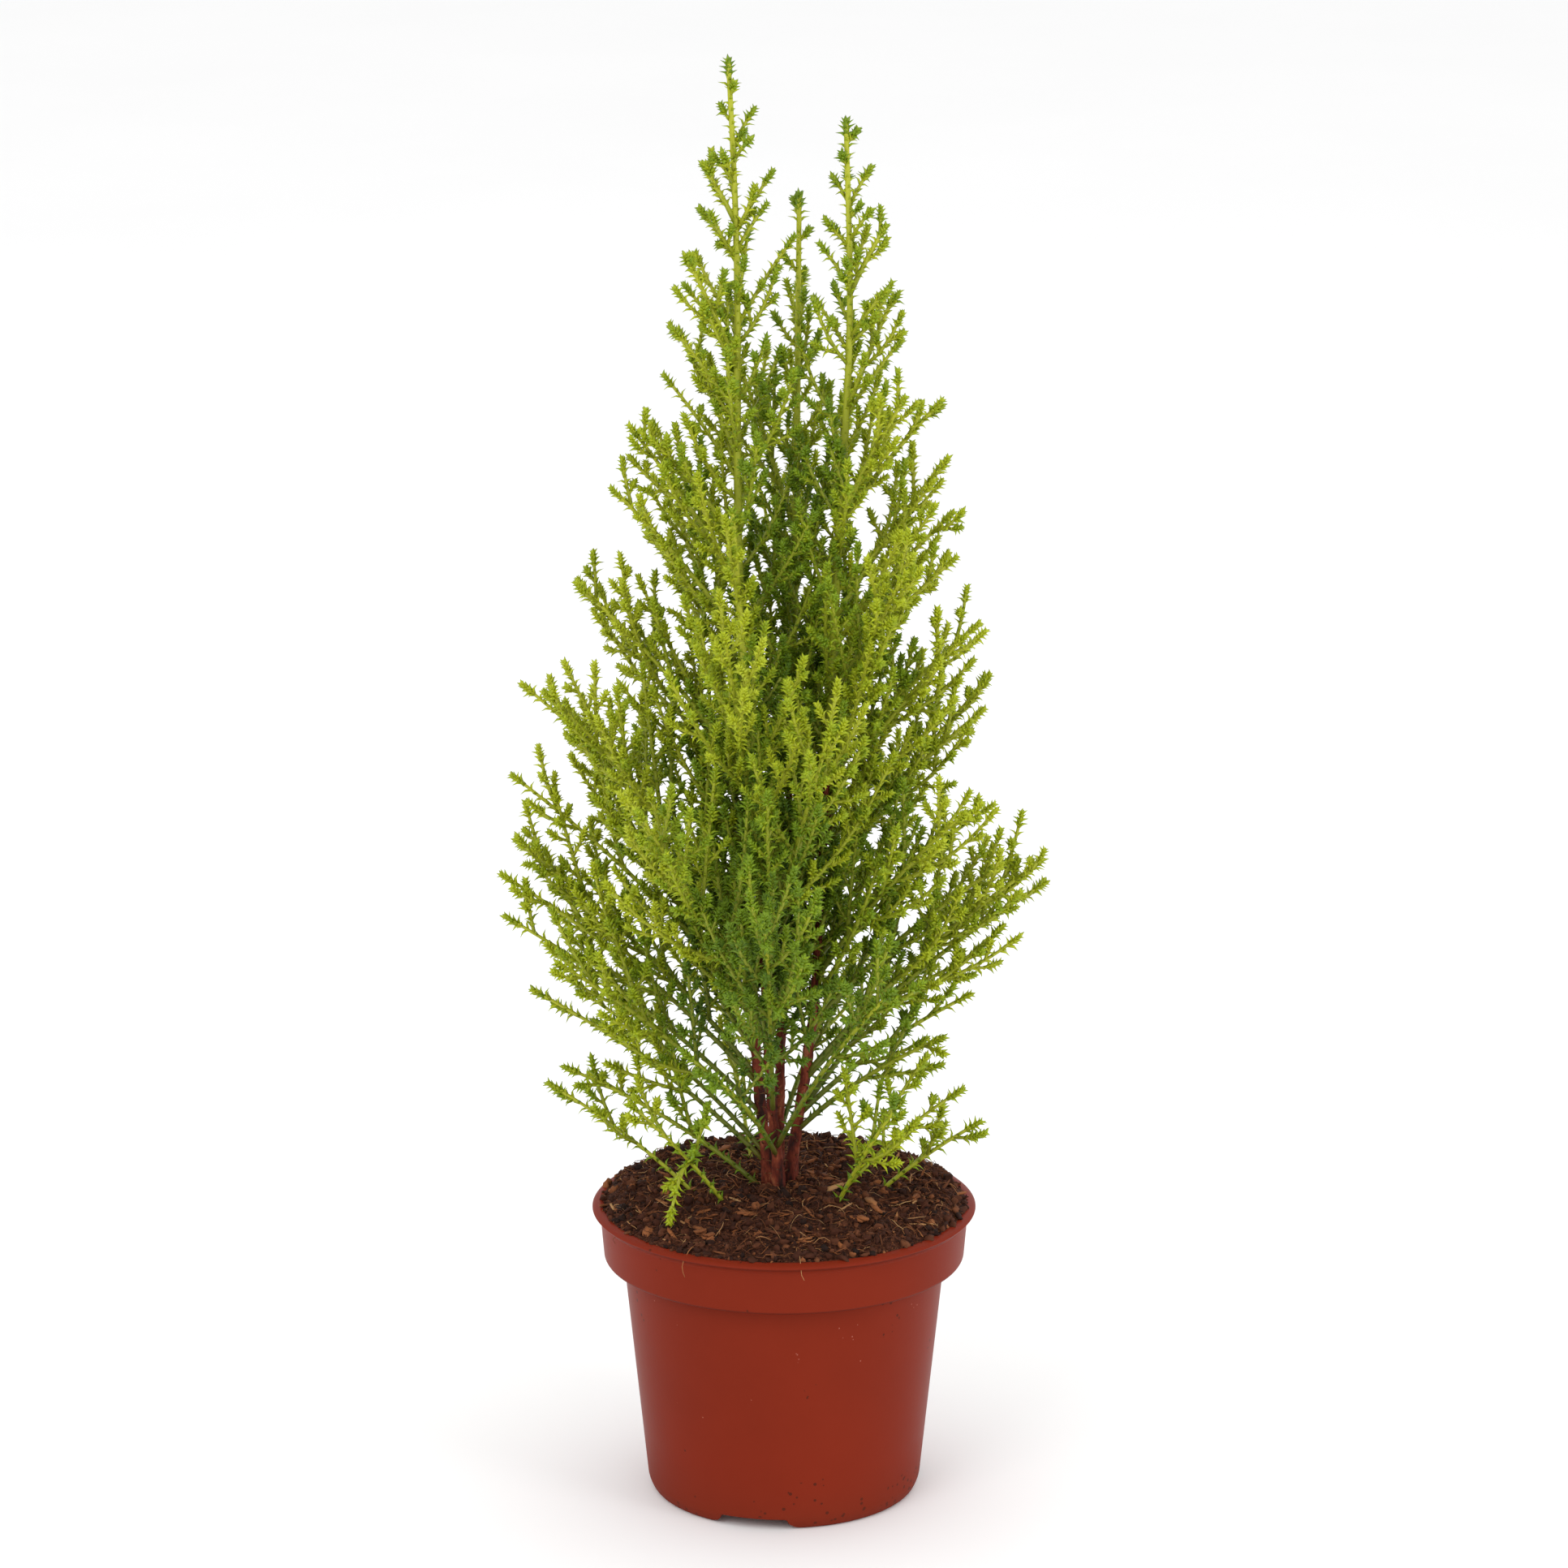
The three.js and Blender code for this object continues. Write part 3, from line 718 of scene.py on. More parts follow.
def peat_material(mix):
    """Damp, dark peat with brown crumbs."""
    made, tree, shader = material("peat", Roughness=0.92, Specular_IOR_Level=0.2)
    blotch, grain = mottled(tree, 130.0, 900.0)
    damp, crumb = tuple(mix.dark_colour), tuple(mix.crumb_colour)
    brown, pale = srgb(92, 58, 40), srgb(126, 84, 56)
    colour = ramp(tree, [(0.32, damp), (0.5, crumb), (0.62, brown), (0.75, pale)], grain)
    shade = ramp(tree, [(0.3, (0.55, 0.5, 0.48)), (0.7, (1.1, 1.05, 1.0))], blotch)
    tree.links.new(mixed(tree, 1.0, colour, shade, "MULTIPLY"), shader.inputs["Base Color"])
    bump = node(tree, "ShaderNodeBump", Strength=1.0, Distance=0.9 * MM)
    tree.links.new(maths(tree, "ADD", blotch, grain), bump.inputs["Height"])
    tree.links.new(bump.outputs["Normal"], shader.inputs["Normal"])
    return made


def bits_material(mix):
    """Crumbs, fibres and wood chips, from dark peat to pale wood along the palette's u."""
    made, tree, shader = material("mix_bits", Roughness=0.85, Specular_IOR_Level=0.25)
    tone, along = palette_axes(tree)
    colour = ramp(
        tree,
        [
            (0.0, tuple(mix.dark_colour)),
            (0.3, tuple(mix.crumb_colour)),
            (0.5, srgb(104, 60, 36)),
            (0.75, tuple(mix.chip_colour)),
            (1.0, srgb(206, 164, 112)),
        ],
        tone,
    )
    streak = ramp(tree, [(0.0, (0.75, 0.72, 0.7)), (0.5, (1.0, 1.0, 1.0)), (1.0, (0.82, 0.8, 0.78))], along)
    tree.links.new(mixed(tree, 1.0, colour, streak, "MULTIPLY"), shader.inputs["Base Color"])
    return made


# ---- Settings ------------------------------------------------------------------------------------------


def size_of(label, text, default):
    return FloatProperty(name=label, description=text, default=default, min=0.0, unit="LENGTH", precision=5)


def colour_of(label, text, default):
    kind = {"size": 3, "subtype": "COLOR", "min": 0.0, "max": 1.0}
    return FloatVectorProperty(name=label, description=text, default=default, **kind)


def angle_of(label, text, degrees):
    return FloatProperty(name=label, description=text, default=math.radians(degrees), subtype="ANGLE")


def share_of(label, text, default):
    return FloatProperty(name=label, description=text, default=default, min=0.0, max=1.0, subtype="FACTOR")


class CypressFoliage(PropertyGroup):
    needle_length: size_of("Needle length", "Length of a full-grown needle", 3.4 * MM)
    needle_width: size_of("Needle width", "Width of a needle at its foot", 1.02 * MM)
    needle_angle: angle_of("Needle angle", "From the shoot to a needle half-way along it", 59)
    pair_spacing: size_of("Pair spacing", "From one pair of needles to the next", 1.95 * MM)
    rosette_length: size_of("Rosette length", "Length of the crowded end of a shoot", 4.2 * MM)
    rosette_shade: share_of("Rosette shade", "How much darker a shoot's crowded end is, at the top", 0.24)
    spur_spacing: size_of("Spur spacing", "From one spur of a plume to the next", 6.5 * MM)
    spur_length: size_of("Spur length", "Length of the longest spurs", 12 * MM)
    plume_spacing: size_of("Plume spacing", "From one plume of a branch to the next", 6.7 * MM)
    plume_length: size_of("Plume length", "Length of the longest plumes", 66 * MM)
    leader_spacing: size_of("Leader spacing", "From one side shoot of a leader to the next", 5.8 * MM)
    deep_colour: colour_of("Deep", "Needles deep in the crown", srgb(50, 84, 6))
    middle_colour: colour_of("Middle", "Needles half-way out", srgb(124, 150, 12))
    fresh_colour: colour_of("Fresh", "Needles at the crown's edge", srgb(177, 186, 22))
    bright_colour: colour_of("Bright", "The youngest needles", srgb(194, 202, 60))
    twig_colour: colour_of("Twig", "Young twigs", srgb(174, 178, 44))
    seed: IntProperty(name="Seed", description="Starts every random draw of the foliage", default=7)


class CypressStems(PropertyGroup):
    bark_colour: colour_of("Bark", "The bark's main colour", srgb(104, 38, 22))
    flare: share_of("Flare", "How much a leader widens at its foot", 0.42)


class CypressPot(PropertyGroup):
    wall: size_of("Wall", "Thickness of the pot's wall", 1.2 * MM)
    lip_height: size_of("Lip height", "Height of the lip and of the flare under it", 3.6 * MM)
    lip_overhang: size_of("Lip overhang", "How far the lip stands out from the collar", 2.8 * MM)
    collar_height: size_of("Collar height", "From the top of the lip to the step", 18.6 * MM)
    collar_taper: size_of("Collar taper", "How much the collar's radius shrinks down to the step", 1.2 * MM)
    step_width: size_of("Step width", "From the collar's foot in to the body", 6.5 * MM)
    body_taper: size_of("Body taper", "How much the body's radius shrinks down to its foot", 8.2 * MM)
    foot_height: size_of("Foot height", "How far the floor stands above the foot ring", 4 * MM)
    foot_ring: size_of("Foot ring", "Width of the foot ring", 11 * MM)
    channel_width: size_of("Channel width", "Width of a gap in the foot ring", 23 * MM)
    drain_circle: size_of("Drain circle", "Radius of the circle of drain holes", 25 * MM)
    drain_radius: size_of("Drain radius", "Radius of a drain hole", 3.5 * MM)
    colour: colour_of("Colour", "Colour of the plastic", srgb(123, 39, 21))
    roughness: share_of("Roughness", "Roughness of the plastic", 0.4)


class CypressMix(PropertyGroup):
    crumbs: IntProperty(name="Crumbs", description="Number of crumbs", default=6000, min=0)
    fibres: IntProperty(name="Fibres", description="Number of fibres", default=1250, min=0)
    chips: IntProperty(name="Chips", description="Number of wood chips", default=300, min=0)
    dark_colour: colour_of("Dark", "Damp peat", srgb(28, 13, 8))
    crumb_colour: colour_of("Crumb", "Crumbs of peat", srgb(73, 36, 19))
    chip_colour: colour_of("Chip", "Wood chips", srgb(152, 92, 52))
    seed: IntProperty(name="Seed", description="Starts every random draw of the mix", default=11)


class CypressStage(PropertyGroup):
    floor_colour: colour_of("Floor", "Colour of the floor", (0.95, 0.95, 0.95))
    camera_distance: size_of("Camera distance", "From the camera to the plant's axis", 2.0)
    camera_height: size_of("Camera height", "Height of the camera above the floor", 0.801)
    aim_height: size_of("Aim height", "Height that the camera looks at", 0.2475)
    lens: FloatProperty(name="Lens", description="Focal length", default=143.3, subtype="DISTANCE_CAMERA")


# ---- Pot -----------------------------------------------------------------------------------------------

FOOT_CHANNELS, DRAIN_HOLES = 3, 6


def rounded(points, radii, steps=5):
    """A profile with its corners rounded."""
    out = []
    count = len(points)
    for i, (point, radius) in enumerate(zip(points, radii)):
        here = Vector(point)
        if radius <= 0 or i in (0, count - 1):
            out.append(here)
            continue
        before = Vector(points[i - 1]) - here
        after = Vector(points[i + 1]) - here
        reach = min(radius, before.length * 0.49, after.length * 0.49)
        start, end = here + before.normalized() * reach, here + after.normalized() * reach
        for k in range(steps + 1):
            share = k / steps
            out.append(start * (1 - share) ** 2 + 2 * here * share * (1 - share) + end * share**2)
    return out


def pot_profile(pot):
    """The pot's section, from the axis under its floor, up the outside and down the inside, as (r, z)."""
    step_z = POT_TOP - pot.collar_height
    lip_z = POT_TOP - pot.lip_height
    collar_top = LIP_RADIUS - pot.lip_overhang
    collar_foot = collar_top - pot.collar_taper
    body_top = collar_foot - pot.step_width
    body_foot = body_top - pot.body_taper
    ring_inner = body_foot - pot.foot_ring
    wall = pot.wall
    floor = pot.foot_height
    # Each point is followed by the radius of its corner.
    outside = [
        ((0.0, floor), 0),
        ((ring_inner, floor), 0.8 * MM),
        ((ring_inner + 0.5 * MM, 0.0), 0.6 * MM),
        ((body_foot - 1.8 * MM, 0.0), 1.2 * MM),
        ((body_foot, 3.4 * MM), 3 * MM),
        ((body_top, step_z - 0.4 * MM), 0.5 * MM),
        ((collar_foot - 0.5 * MM, step_z), 0.5 * MM),
        ((collar_foot, step_z + 0.8 * MM), 0.7 * MM),
        ((collar_top, lip_z - 0.2 * MM), 0.3 * MM),
        ((LIP_RADIUS - 0.4 * MM, lip_z + 0.55 * pot.lip_height), 0.3 * MM),
        ((LIP_RADIUS, lip_z + 0.68 * pot.lip_height), 0.4 * MM),
        ((LIP_RADIUS - 0.9 * MM, POT_TOP - 0.12 * pot.lip_height), 0.6 * MM),
        ((collar_top + 0.3 * MM, POT_TOP), 0.4 * MM),
    ]
    inside = [
        ((collar_top - wall, POT_TOP), 0.4 * MM),
        ((collar_foot - wall, step_z + 2 * MM), 1 * MM),
        ((body_top - wall, step_z - 1 * MM), 1 * MM),
        ((body_foot - wall, floor + 3 * MM), 3 * MM),
        ((body_foot - 4 * MM, floor + wall), 1 * MM),
        ((0.0, floor + wall), 0),
    ]
    points, radii = zip(*(outside + inside))
    return rounded(points, radii)


def spun(profile, segments):
    """A profile turned about Z, as a bmesh. Its ends lie on the axis."""
    made = bmesh.new()
    turns = [2 * math.pi * k / segments for k in range(segments)]
    rings = []
    for point in profile[1:-1]:
        rings.append([made.verts.new((point.x * math.cos(t), point.x * math.sin(t), point.y)) for t in turns])
    poles = [made.verts.new((0, 0, profile[0].y)), made.verts.new((0, 0, profile[-1].y))]
    following = [(k, (k + 1) % segments) for k in range(segments)]
    for low, high in zip(rings, rings[1:]):
        for k, n in following:
            made.faces.new((low[k], low[n], high[n], high[k]))
    for k, n in following:
        made.faces.new((poles[0], rings[0][n], rings[0][k]))
        made.faces.new((poles[1], rings[-1][k], rings[-1][n]))
    bmesh.ops.recalc_face_normals(made, faces=made.faces)
    return made


def as_object(made, name):
    """An object in the scene from a bmesh, which is freed."""
    mesh = bpy.data.meshes.new(name)
    made.to_mesh(mesh)
    made.free()
    piece = bpy.data.objects.new(name, mesh)
    bpy.context.scene.collection.objects.link(piece)
    return piece


def carve(piece, cutter):
    """Cuts the cutter out of the piece, and removes it."""
    cut = piece.modifiers.new("cut", "BOOLEAN")
    cut.operation, cut.solver, cut.object = "DIFFERENCE", "EXACT", cutter
    bpy.context.view_layer.update()
    result = bpy.data.meshes.new_from_object(piece.evaluated_get(bpy.context.evaluated_depsgraph_get()))
    piece.modifiers.remove(cut)
    old, piece.data = piece.data, result
    bpy.data.meshes.remove(old)
    bpy.data.objects.remove(cutter)


def channel_angles():
    """The directions of the gaps in the foot ring, from where the CAD pot has no material at the floor."""
    points = node_points("pot")
    ring = points[points[:, 2] < 0.3 * MM]
    angles = np.sort(np.degrees(np.arctan2(ring[:, 1], ring[:, 0])) % 360)
    gaps = np.diff(np.append(angles, angles[0] + 360))
    wide = np.argsort(gaps)[-FOOT_CHANNELS:]
    return [float(angles[i] + gaps[i] / 2) for i in wide]


def channel_cutters(pot):
    """Bars that cut the channels out of the foot ring."""
    half = pot.channel_width / 2
    # A channel's section is flared at the floor, so the feet end in round corners, and stops under the pot.
    flare = [(6.0, -1.0), (6.0, 0.0), (3.6, 0.3), (1.9, 0.9), (0.8, 1.7), (0.2, 2.6), (0.0, 3.4)]
    side = [(half + out * MM, up * MM) for out, up in flare]
    side.append((half - 0.7 * MM, pot.foot_height - 0.1 * MM))
    section = side + [(-out, up) for out, up in reversed(side)]
    ends = (0.03, 0.09)  # a bar's ends, inside the foot ring and outside the pot
    made = bmesh.new()
    for angle in channel_angles():
        turn = Matrix.Rotation(math.radians(angle), 4, "Z")
        near, far = ([made.verts.new(turn @ Vector((r, y, z))) for y, z in section] for r in ends)
        made.faces.new(near)
        made.faces.new(list(reversed(far)))
        for k in range(len(section)):
            n = (k + 1) % len(section)
            made.faces.new((near[n], near[k], far[k], far[n]))
    bmesh.ops.recalc_face_normals(made, faces=made.faces)
    return as_object(made, "channels")


def drain_cutters(pot):
    """Pins that cut the drain holes out of the floor, clear of the channels' middles."""
    made = bmesh.new()
    first = math.radians(channel_angles()[0])
    radius, away = pot.drain_radius, pot.drain_circle
    for k in range(DRAIN_HOLES):
        turn = first + (k + 0.5) * 2 * math.pi / DRAIN_HOLES
        place = Matrix.Translation((away * math.cos(turn), away * math.sin(turn), pot.foot_height))
        shape = {"segments": 32, "radius1": radius, "radius2": radius, "depth": 8 * MM}
        bmesh.ops.create_cone(made, cap_ends=True, matrix=place, **shape)
    return as_object(made, "drain_holes")


def make_pot(pot):
    """The pot: a turned shell with channels under its foot and drain holes in its floor."""
    piece = as_object(spun(pot_profile(pot), 160), "pot_shell")
    carve(piece, channel_cutters(pot))
    carve(piece, drain_cutters(pot))
    mesh = piece.data
    mesh.materials.clear()
    mesh.materials.append(pot_material(pot))
    mesh.shade_smooth()
    mesh.set_sharp_from_angle(angle=math.radians(32))
    return in_place(piece, "pot", "pot")


# ---- Potting mix ---------------------------------------------------------------------------------------

MIX_RADIUS = MIX_HIGH.x
MIX_EDGE = POT_TOP - 1.5 * MM  # where the mound meets the pot's wall
FINEST_CRUMB, CRUMB_RANGE = 0.32 * MM, 1.3 * MM
LUMP_SIZE = 1.1 * MM  # larger crumbs are made with finer faces
FIBRE_STEPS = 6
# Fibres that hang over the rim: direction in degrees, drop, tone
RIM_FIBRES = [(-121, 3.2 * MM, 0.8), (-85, 1.6 * MM, 0.9), (-151, 1.0 * MM, 0.6)]
LAYERS = 3  # splinters that lie on one another and make a broad chip
# Broad chips: x, y, length and width in millimetres, heading, tone
BROAD_CHIPS = [
    (31, -22, 9, 4, 118, 0.74),
    (24, -35, 7, 3, 150, 0.7),
    (-27, -45, 5, 5, 40, 0.6),
    (-12, -30, 6, 2.5, 20, 0.62),
    (44, -12, 6, 2.5, 70, 0.66),
    (-40, -8, 6, 2, 100, 0.72),
    (8, -50, 6, 2, 10, 0.7),
    (-20, 34, 7, 3, 60, 0.66),
    (30, 36, 6, 3, 130, 0.7),
]


def mix_height(x, y):
    """The height of the mix's crumbly surface, which banks up against the rim at the sides and the back."""
    radius = math.hypot(x, y)
    share = min(1.0, radius / MIX_RADIUS)
    mound = MIX_EDGE + (MIX_TOP - MIX_EDGE) * (1 - share**2)
    place = Vector((x, y, 0.0))
    clods = 1.2 * noise.fractal(place * 80.0, 0.8, 2.2, 3)
    crumbs = 1.1 * noise.turbulence(place * 330.0, 3, False)
    behind = (0.5 + 0.5 * y / max(radius, MM)) ** 0.35  # 0 at the front of the pot, 1 at its back
    at_rim = eased(share, 0.6, 0.85) * eased(share, 1.02, 0.93)
    bank = behind * at_rim * (3.6 + 2.2 * noise.noise(place * 45.0))
    return mound + (1.0 + (clods + crumbs) * (1.2 - 0.7 * share) + bank) * MM


def make_mix_surface(mix):
    """The crumbly top of the mix, as a fine sheet whose rim turns down into the pot."""
    rings, segments = 130, 400
    skirt = 3 * MM  # how far the sheet's rim turns down
    radii = (MIX_RADIUS + 0.9 * MM) * (np.arange(1, rings + 1) / rings) ** 0.75
    angles = np.arange(segments) * 2 * math.pi / segments
    vertices = [(0.0, 0.0, mix_height(0.0, 0.0))]
    for radius in radii:
        for angle in angles:
            x, y = radius * math.cos(angle), radius * math.sin(angle)
            vertices.append((x, y, mix_height(x, y) if radius < radii[-1] else POT_TOP + 0.1 * MM))
    for angle in angles:
        inner = MIX_RADIUS - 0.5 * MM
        vertices.append((inner * math.cos(angle), inner * math.sin(angle), MIX_EDGE - skirt))
    first = 1 + np.arange(segments)
    middle = np.stack([np.zeros(segments, int), first, np.roll(first, -1)], -1)
    faces = np.concatenate([middle, 1 + ring_faces(rings + 1, segments)[:, ::-1]])
    peat = peat_material(mix)
    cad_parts["potting_mix"].data.materials.clear()
    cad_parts["potting_mix"].data.materials.append(peat)
    return in_place(mesh_piece("mix_surface", np.array(vertices), faces, peat), "potting_mix")


def scatter(rng, count, spill=0.0):
    """Random places on the mix. Some may spill over its edge."""
    radius = (MIX_RADIUS - 1.0 * MM + spill) * np.sqrt(rng.random(count))
    angle = rng.uniform(0, 2 * math.pi, count)
    return np.stack([radius * np.cos(angle), radius * np.sin(angle)], -1)


def lump_shape(detail):
    """A unit ball of triangles."""
    ball = bmesh.new()
    bmesh.ops.create_icosphere(ball, subdivisions=detail, radius=1.0)
    vertices = np.array([v.co for v in ball.verts])
    faces = np.array([[v.index for v in f.verts] for f in ball.faces])
    ball.free()
    return vertices, faces


def turned_at_random(rng):
    """A rotation by a random angle about a random axis."""
    axis = unit(rng.normal(0, 1, 3))
    return np.array(Matrix.Rotation(rng.uniform(0, 2 * math.pi), 3, Vector(axis)))


def make_crumbs(mix, bits, seed):
    """Crumbs of peat, from fine grains to ragged lumps, half sunk in the mix."""
    rng = np.random.default_rng(seed)
    grown = Growth()
    shapes = [lump_shape(1), lump_shape(2)]
    for x, y in scatter(rng, mix.crumbs, 2.4 * MM):
        size = FINEST_CRUMB + CRUMB_RANGE * rng.random() ** 4
        vertices, faces = shapes[1] if size > LUMP_SIZE else shapes[0]
        stretch = size * rng.uniform(0.45, 1.35, 3)
        ragged = vertices * (1 + rng.normal(0, 0.26, (len(vertices), 1)))
        body = (ragged * stretch) @ turned_at_random(rng).T
        body += (x, y, max(mix_height(x, y), POT_TOP + 0.1 * MM) + 0.15 * size)
        dark = rng.random() < 0.9
        tone = np.clip(rng.normal(0.24, 0.13), 0.02, 0.6) if dark else rng.uniform(0.45, 0.75)
        palette = np.stack([tone + 0.015 * vertices[:, 0], 0.5 + 0.45 * vertices[:, 2]], -1)
        grown.add(body, faces, np.clip(palette, 0.001, 0.999))
    return in_place(grown.piece("mix_crumbs", bits), "potting_mix")


def fibre(grown, points, thick, tone):
    """A thin strand through the points."""
    before = len(grown.palette)
    grown.twig(Path(points), thick, thick * 0.5, 0.1, 0.9, sides=3, step=1.8 * MM)
    across = grown.palette[before][:, 0] - TWIG_TONE
    grown.palette[before][:, 0] = np.clip(tone + 0.1 * across, 0.01, 0.99)


def make_fibres(mix, bits, seed):
    """Peat fibres and rootlets that lie curled on the mix, and a few that hang over the rim."""
    rng = np.random.default_rng(seed)
    grown = Growth()
    for x, y in scatter(rng, mix.fibres):
        length = rng.uniform(3, 13) * MM
        heading, curl = rng.uniform(0, 2 * math.pi), rng.normal(0, 0.35)
        lift = rng.uniform(0.2, 2.0) * MM
        points = []
        for i in range(FIBRE_STEPS + 1):
            arch = lift * math.sin(math.pi * i / FIBRE_STEPS)
            points.append((x, y, mix_height(x, y) + arch + 0.25 * MM))
            stride = length / FIBRE_STEPS
            x, y = x + stride * math.cos(heading), y + stride * math.sin(heading)
            heading += curl + rng.normal(0, 0.15)
            if math.hypot(x, y) > MIX_RADIUS - 1 * MM:
                heading += 0.9
                x, y = x * 0.97, y * 0.97
        thick = rng.uniform(0.07, 0.2) * MM
        fibre(grown, points, thick, rng.choice([rng.uniform(0.1, 0.5), rng.uniform(0.4, 0.97)]))
    for turn, drop, tone in RIM_FIBRES:
        out = Vector((math.cos(math.radians(turn)), math.sin(math.radians(turn)), 0))
        over = (LIP_RADIUS - MIX_RADIUS) / MM + 0.5
        reach = [(-5, 1.2), (-3, 1.6), (-1, 1.3), (1, 0.6), (over, -2.6)]
        points = [out * (MIX_RADIUS + r * MM) + Vector((0, 0, POT_TOP + z * MM)) for r, z in reach]
        points.append(points[-1] + Vector((0.4 * MM, 0, -drop)))
        points.append(points[-1] + Vector((0.6 * MM, 0, -0.4 * drop)))
        fibre(grown, points, 0.2 * MM, tone)
    return in_place(grown.piece("mix_fibres", bits), "potting_mix")


def chip(grown, place, length, width, thick, turn, tone, rng):
    """A flat splinter of wood with ragged ends."""
    sides = 12
    around = (np.arange(sides) + 0.5) * 2 * math.pi / sides
    box = np.stack([np.sign(np.cos(around)) * np.abs(np.cos(around)) ** 0.45, np.sin(around)], -1)
    outline = box * (length, width) * (1 + rng.normal(0, 0.12, (sides, 2)))
    low = np.column_stack([outline * 0.94, np.full(sides, -thick / 2)])
    high = np.column_stack([outline, thick / 2 + rng.normal(0, 0.25, sides) * thick])
    vertices = np.concatenate([low, high, [[0, 0, thick * 0.6]], [[0, 0, -thick / 2]]])
    top, bottom = 2 * sides, 2 * sides + 1
    faces = []
    for k in range(sides):
        n = (k + 1) % sides
        faces += [(k, n, sides + n), (k, sides + n, sides + k), (sides + k, sides + n, top), (n, k, bottom)]
    tones = tone + 3.0 * vertices[:, 0] + 8.0 * vertices[:, 2]
    palette = np.stack([tones, 0.5 + 0.4 * vertices[:, 1] / width], -1)
    grown.add(vertices @ np.array(turn).T + place, np.array(faces), np.clip(palette, 0.01, 0.99))


def tilted(heading, pitch, roll):
    """The rotation of a chip that points along its heading, with its pitch and roll."""
    about = Matrix.Rotation
    return about(heading, 3, "Z") @ about(pitch, 3, "Y") @ about(roll, 3, "X")


def make_chips(mix, bits, seed):
    """Splinters and chips of wood, most of them small, and a few broad ones at named places."""
    rng = np.random.default_rng(seed)
    grown = Growth()
    for x, y in scatter(rng, mix.chips, 0.8 * MM):
        length = (0.9 + 3.4 * rng.random() ** 2) * MM
        width = length * rng.uniform(0.08, 0.27)
        thick = rng.uniform(0.2, 0.5) * MM
        turn = tilted(rng.uniform(0, 2 * math.pi), rng.normal(0, 0.3), rng.normal(0, 0.45))
        tone = np.clip(rng.normal(0.6, 0.19), 0.2, 0.97)
        place = (x, y, mix_height(x, y) + 0.5 * thick + 0.25 * MM)
        chip(grown, place, length, width, thick, turn, tone, rng)
    for x, y, length, width, heading, tone in BROAD_CHIPS:
        x, y = x * MM, y * MM
        for k in range(LAYERS):
            turn = tilted(math.radians(heading + rng.normal(0, 9)), rng.normal(0, 0.1), rng.normal(0, 0.3))
            offset = rng.normal(0, 0.5 * width, 2) * MM
            place = (x + offset[0], y + offset[1], mix_height(x, y) + (0.7 + 0.5 * k) * MM)
            size = rng.uniform(0.7, 1.0) * 0.5 * length * MM
            chip(grown, place, size, 0.28 * width * MM, 0.5 * MM, turn, tone + rng.normal(0, 0.05), rng)
    return in_place(grown.piece("mix_chips", bits), "potting_mix")


# ---- Leaders -------------------------------------------------------------------------------------------


STEM_SHARE = 0.86  # a stem's share of its CAD leader's radius, which leaves room for the bark's ridges
STEM_LIMIT = 2.8 * MM  # a CAD leader's radius counts up to here
FLARE_HEIGHT = 9 * MM
TIP_ROOM = 7 * MM  # a leader's side shoots end this far below its tip


def make_stem(quarter, stem, bark):
    """A leader's woody stem, with bark ridges and a foot that flares into the mix."""
    middles, radii = LEADER_AXES[quarter]
    path = Path(middles)
    rings, sides = 260, 20
    share = np.linspace(0, 0.995, rings)
    distance = share * path.length
    radius = np.interp(distance, path.at, np.minimum(radii, STEM_LIMIT)) * STEM_SHARE
    height = path.place(distance)[:, 2] - MIX_TOP
    radius *= 1 + stem.flare * np.exp(-np.maximum(height, 0) / FLARE_HEIGHT)
    radius *= np.interp(share, [0.0, 0.5, 1.0], [1.0, 0.72, 0.4])  # under the green skin the wood is slim
    one, other = path.sides(distance)
    angle = np.arange(sides) * 2 * math.pi / sides
    centre = path.place(distance)
    vertices = []
    for i in range(rings):
        for k in range(sides):
            out = math.cos(angle[k]) * one[i] + math.sin(angle[k]) * other[i]
            place = Vector((out[0] * 2.1, out[1] * 2.1, centre[i][2] * 70.0 + 3.0 * len(quarter)))
            ridge = noise.fractal(place, 0.8, 2.0, 3) * 0.3 + noise.noise(place * 4.0) * 0.2
            vertices.append(centre[i] + out * radius[i] * (1 + ridge))
    piece = mesh_piece(f"stem_{quarter}", np.array(vertices), tube_faces(rings, sides), bark)
    return in_place(piece, "bark", f"leader_{quarter}")


def side_shoots(grown, path, rng, leaf):
    """The plumes on a leader, which shorten to spurs near its tip."""
    distance = path.length * 0.2
    turn = rng.uniform(0, 2 * math.pi)
    while distance < path.length - TIP_ROOM:
        left = path.length - distance
        base = path.place(distance)
        way = path.leaving(distance, turn, math.radians(rng.uniform(36, 52)))
        reach = crown_reach(base[2]) * 0.85 + 6 * MM
        length = max(min(reach, 0.3 * left, leaf.plume_length) * rng.uniform(0.7, 1.1), 5 * MM)
        if base[2] > MIX_TOP + 40 * MM:
            if length > 14 * MM:
                tone = age_and_shade_tone(base + way * length) + rng.normal(0, 0.05)
                plume(grown, base, way, 0.5, length, rng, leaf, tone)
            else:
                tone = 0.66 + rng.normal(0, 0.05)
                spur(grown, path, distance, turn, length, rng, leaf, tone, angle=46, rise=0.25, size=1.0)
        turn += GOLDEN_TURN
        sparser = np.interp(left, [30 * MM, 130 * MM], [1.6, 1.0])
        distance += leaf.leader_spacing * rng.uniform(0.8, 1.2) * sparser


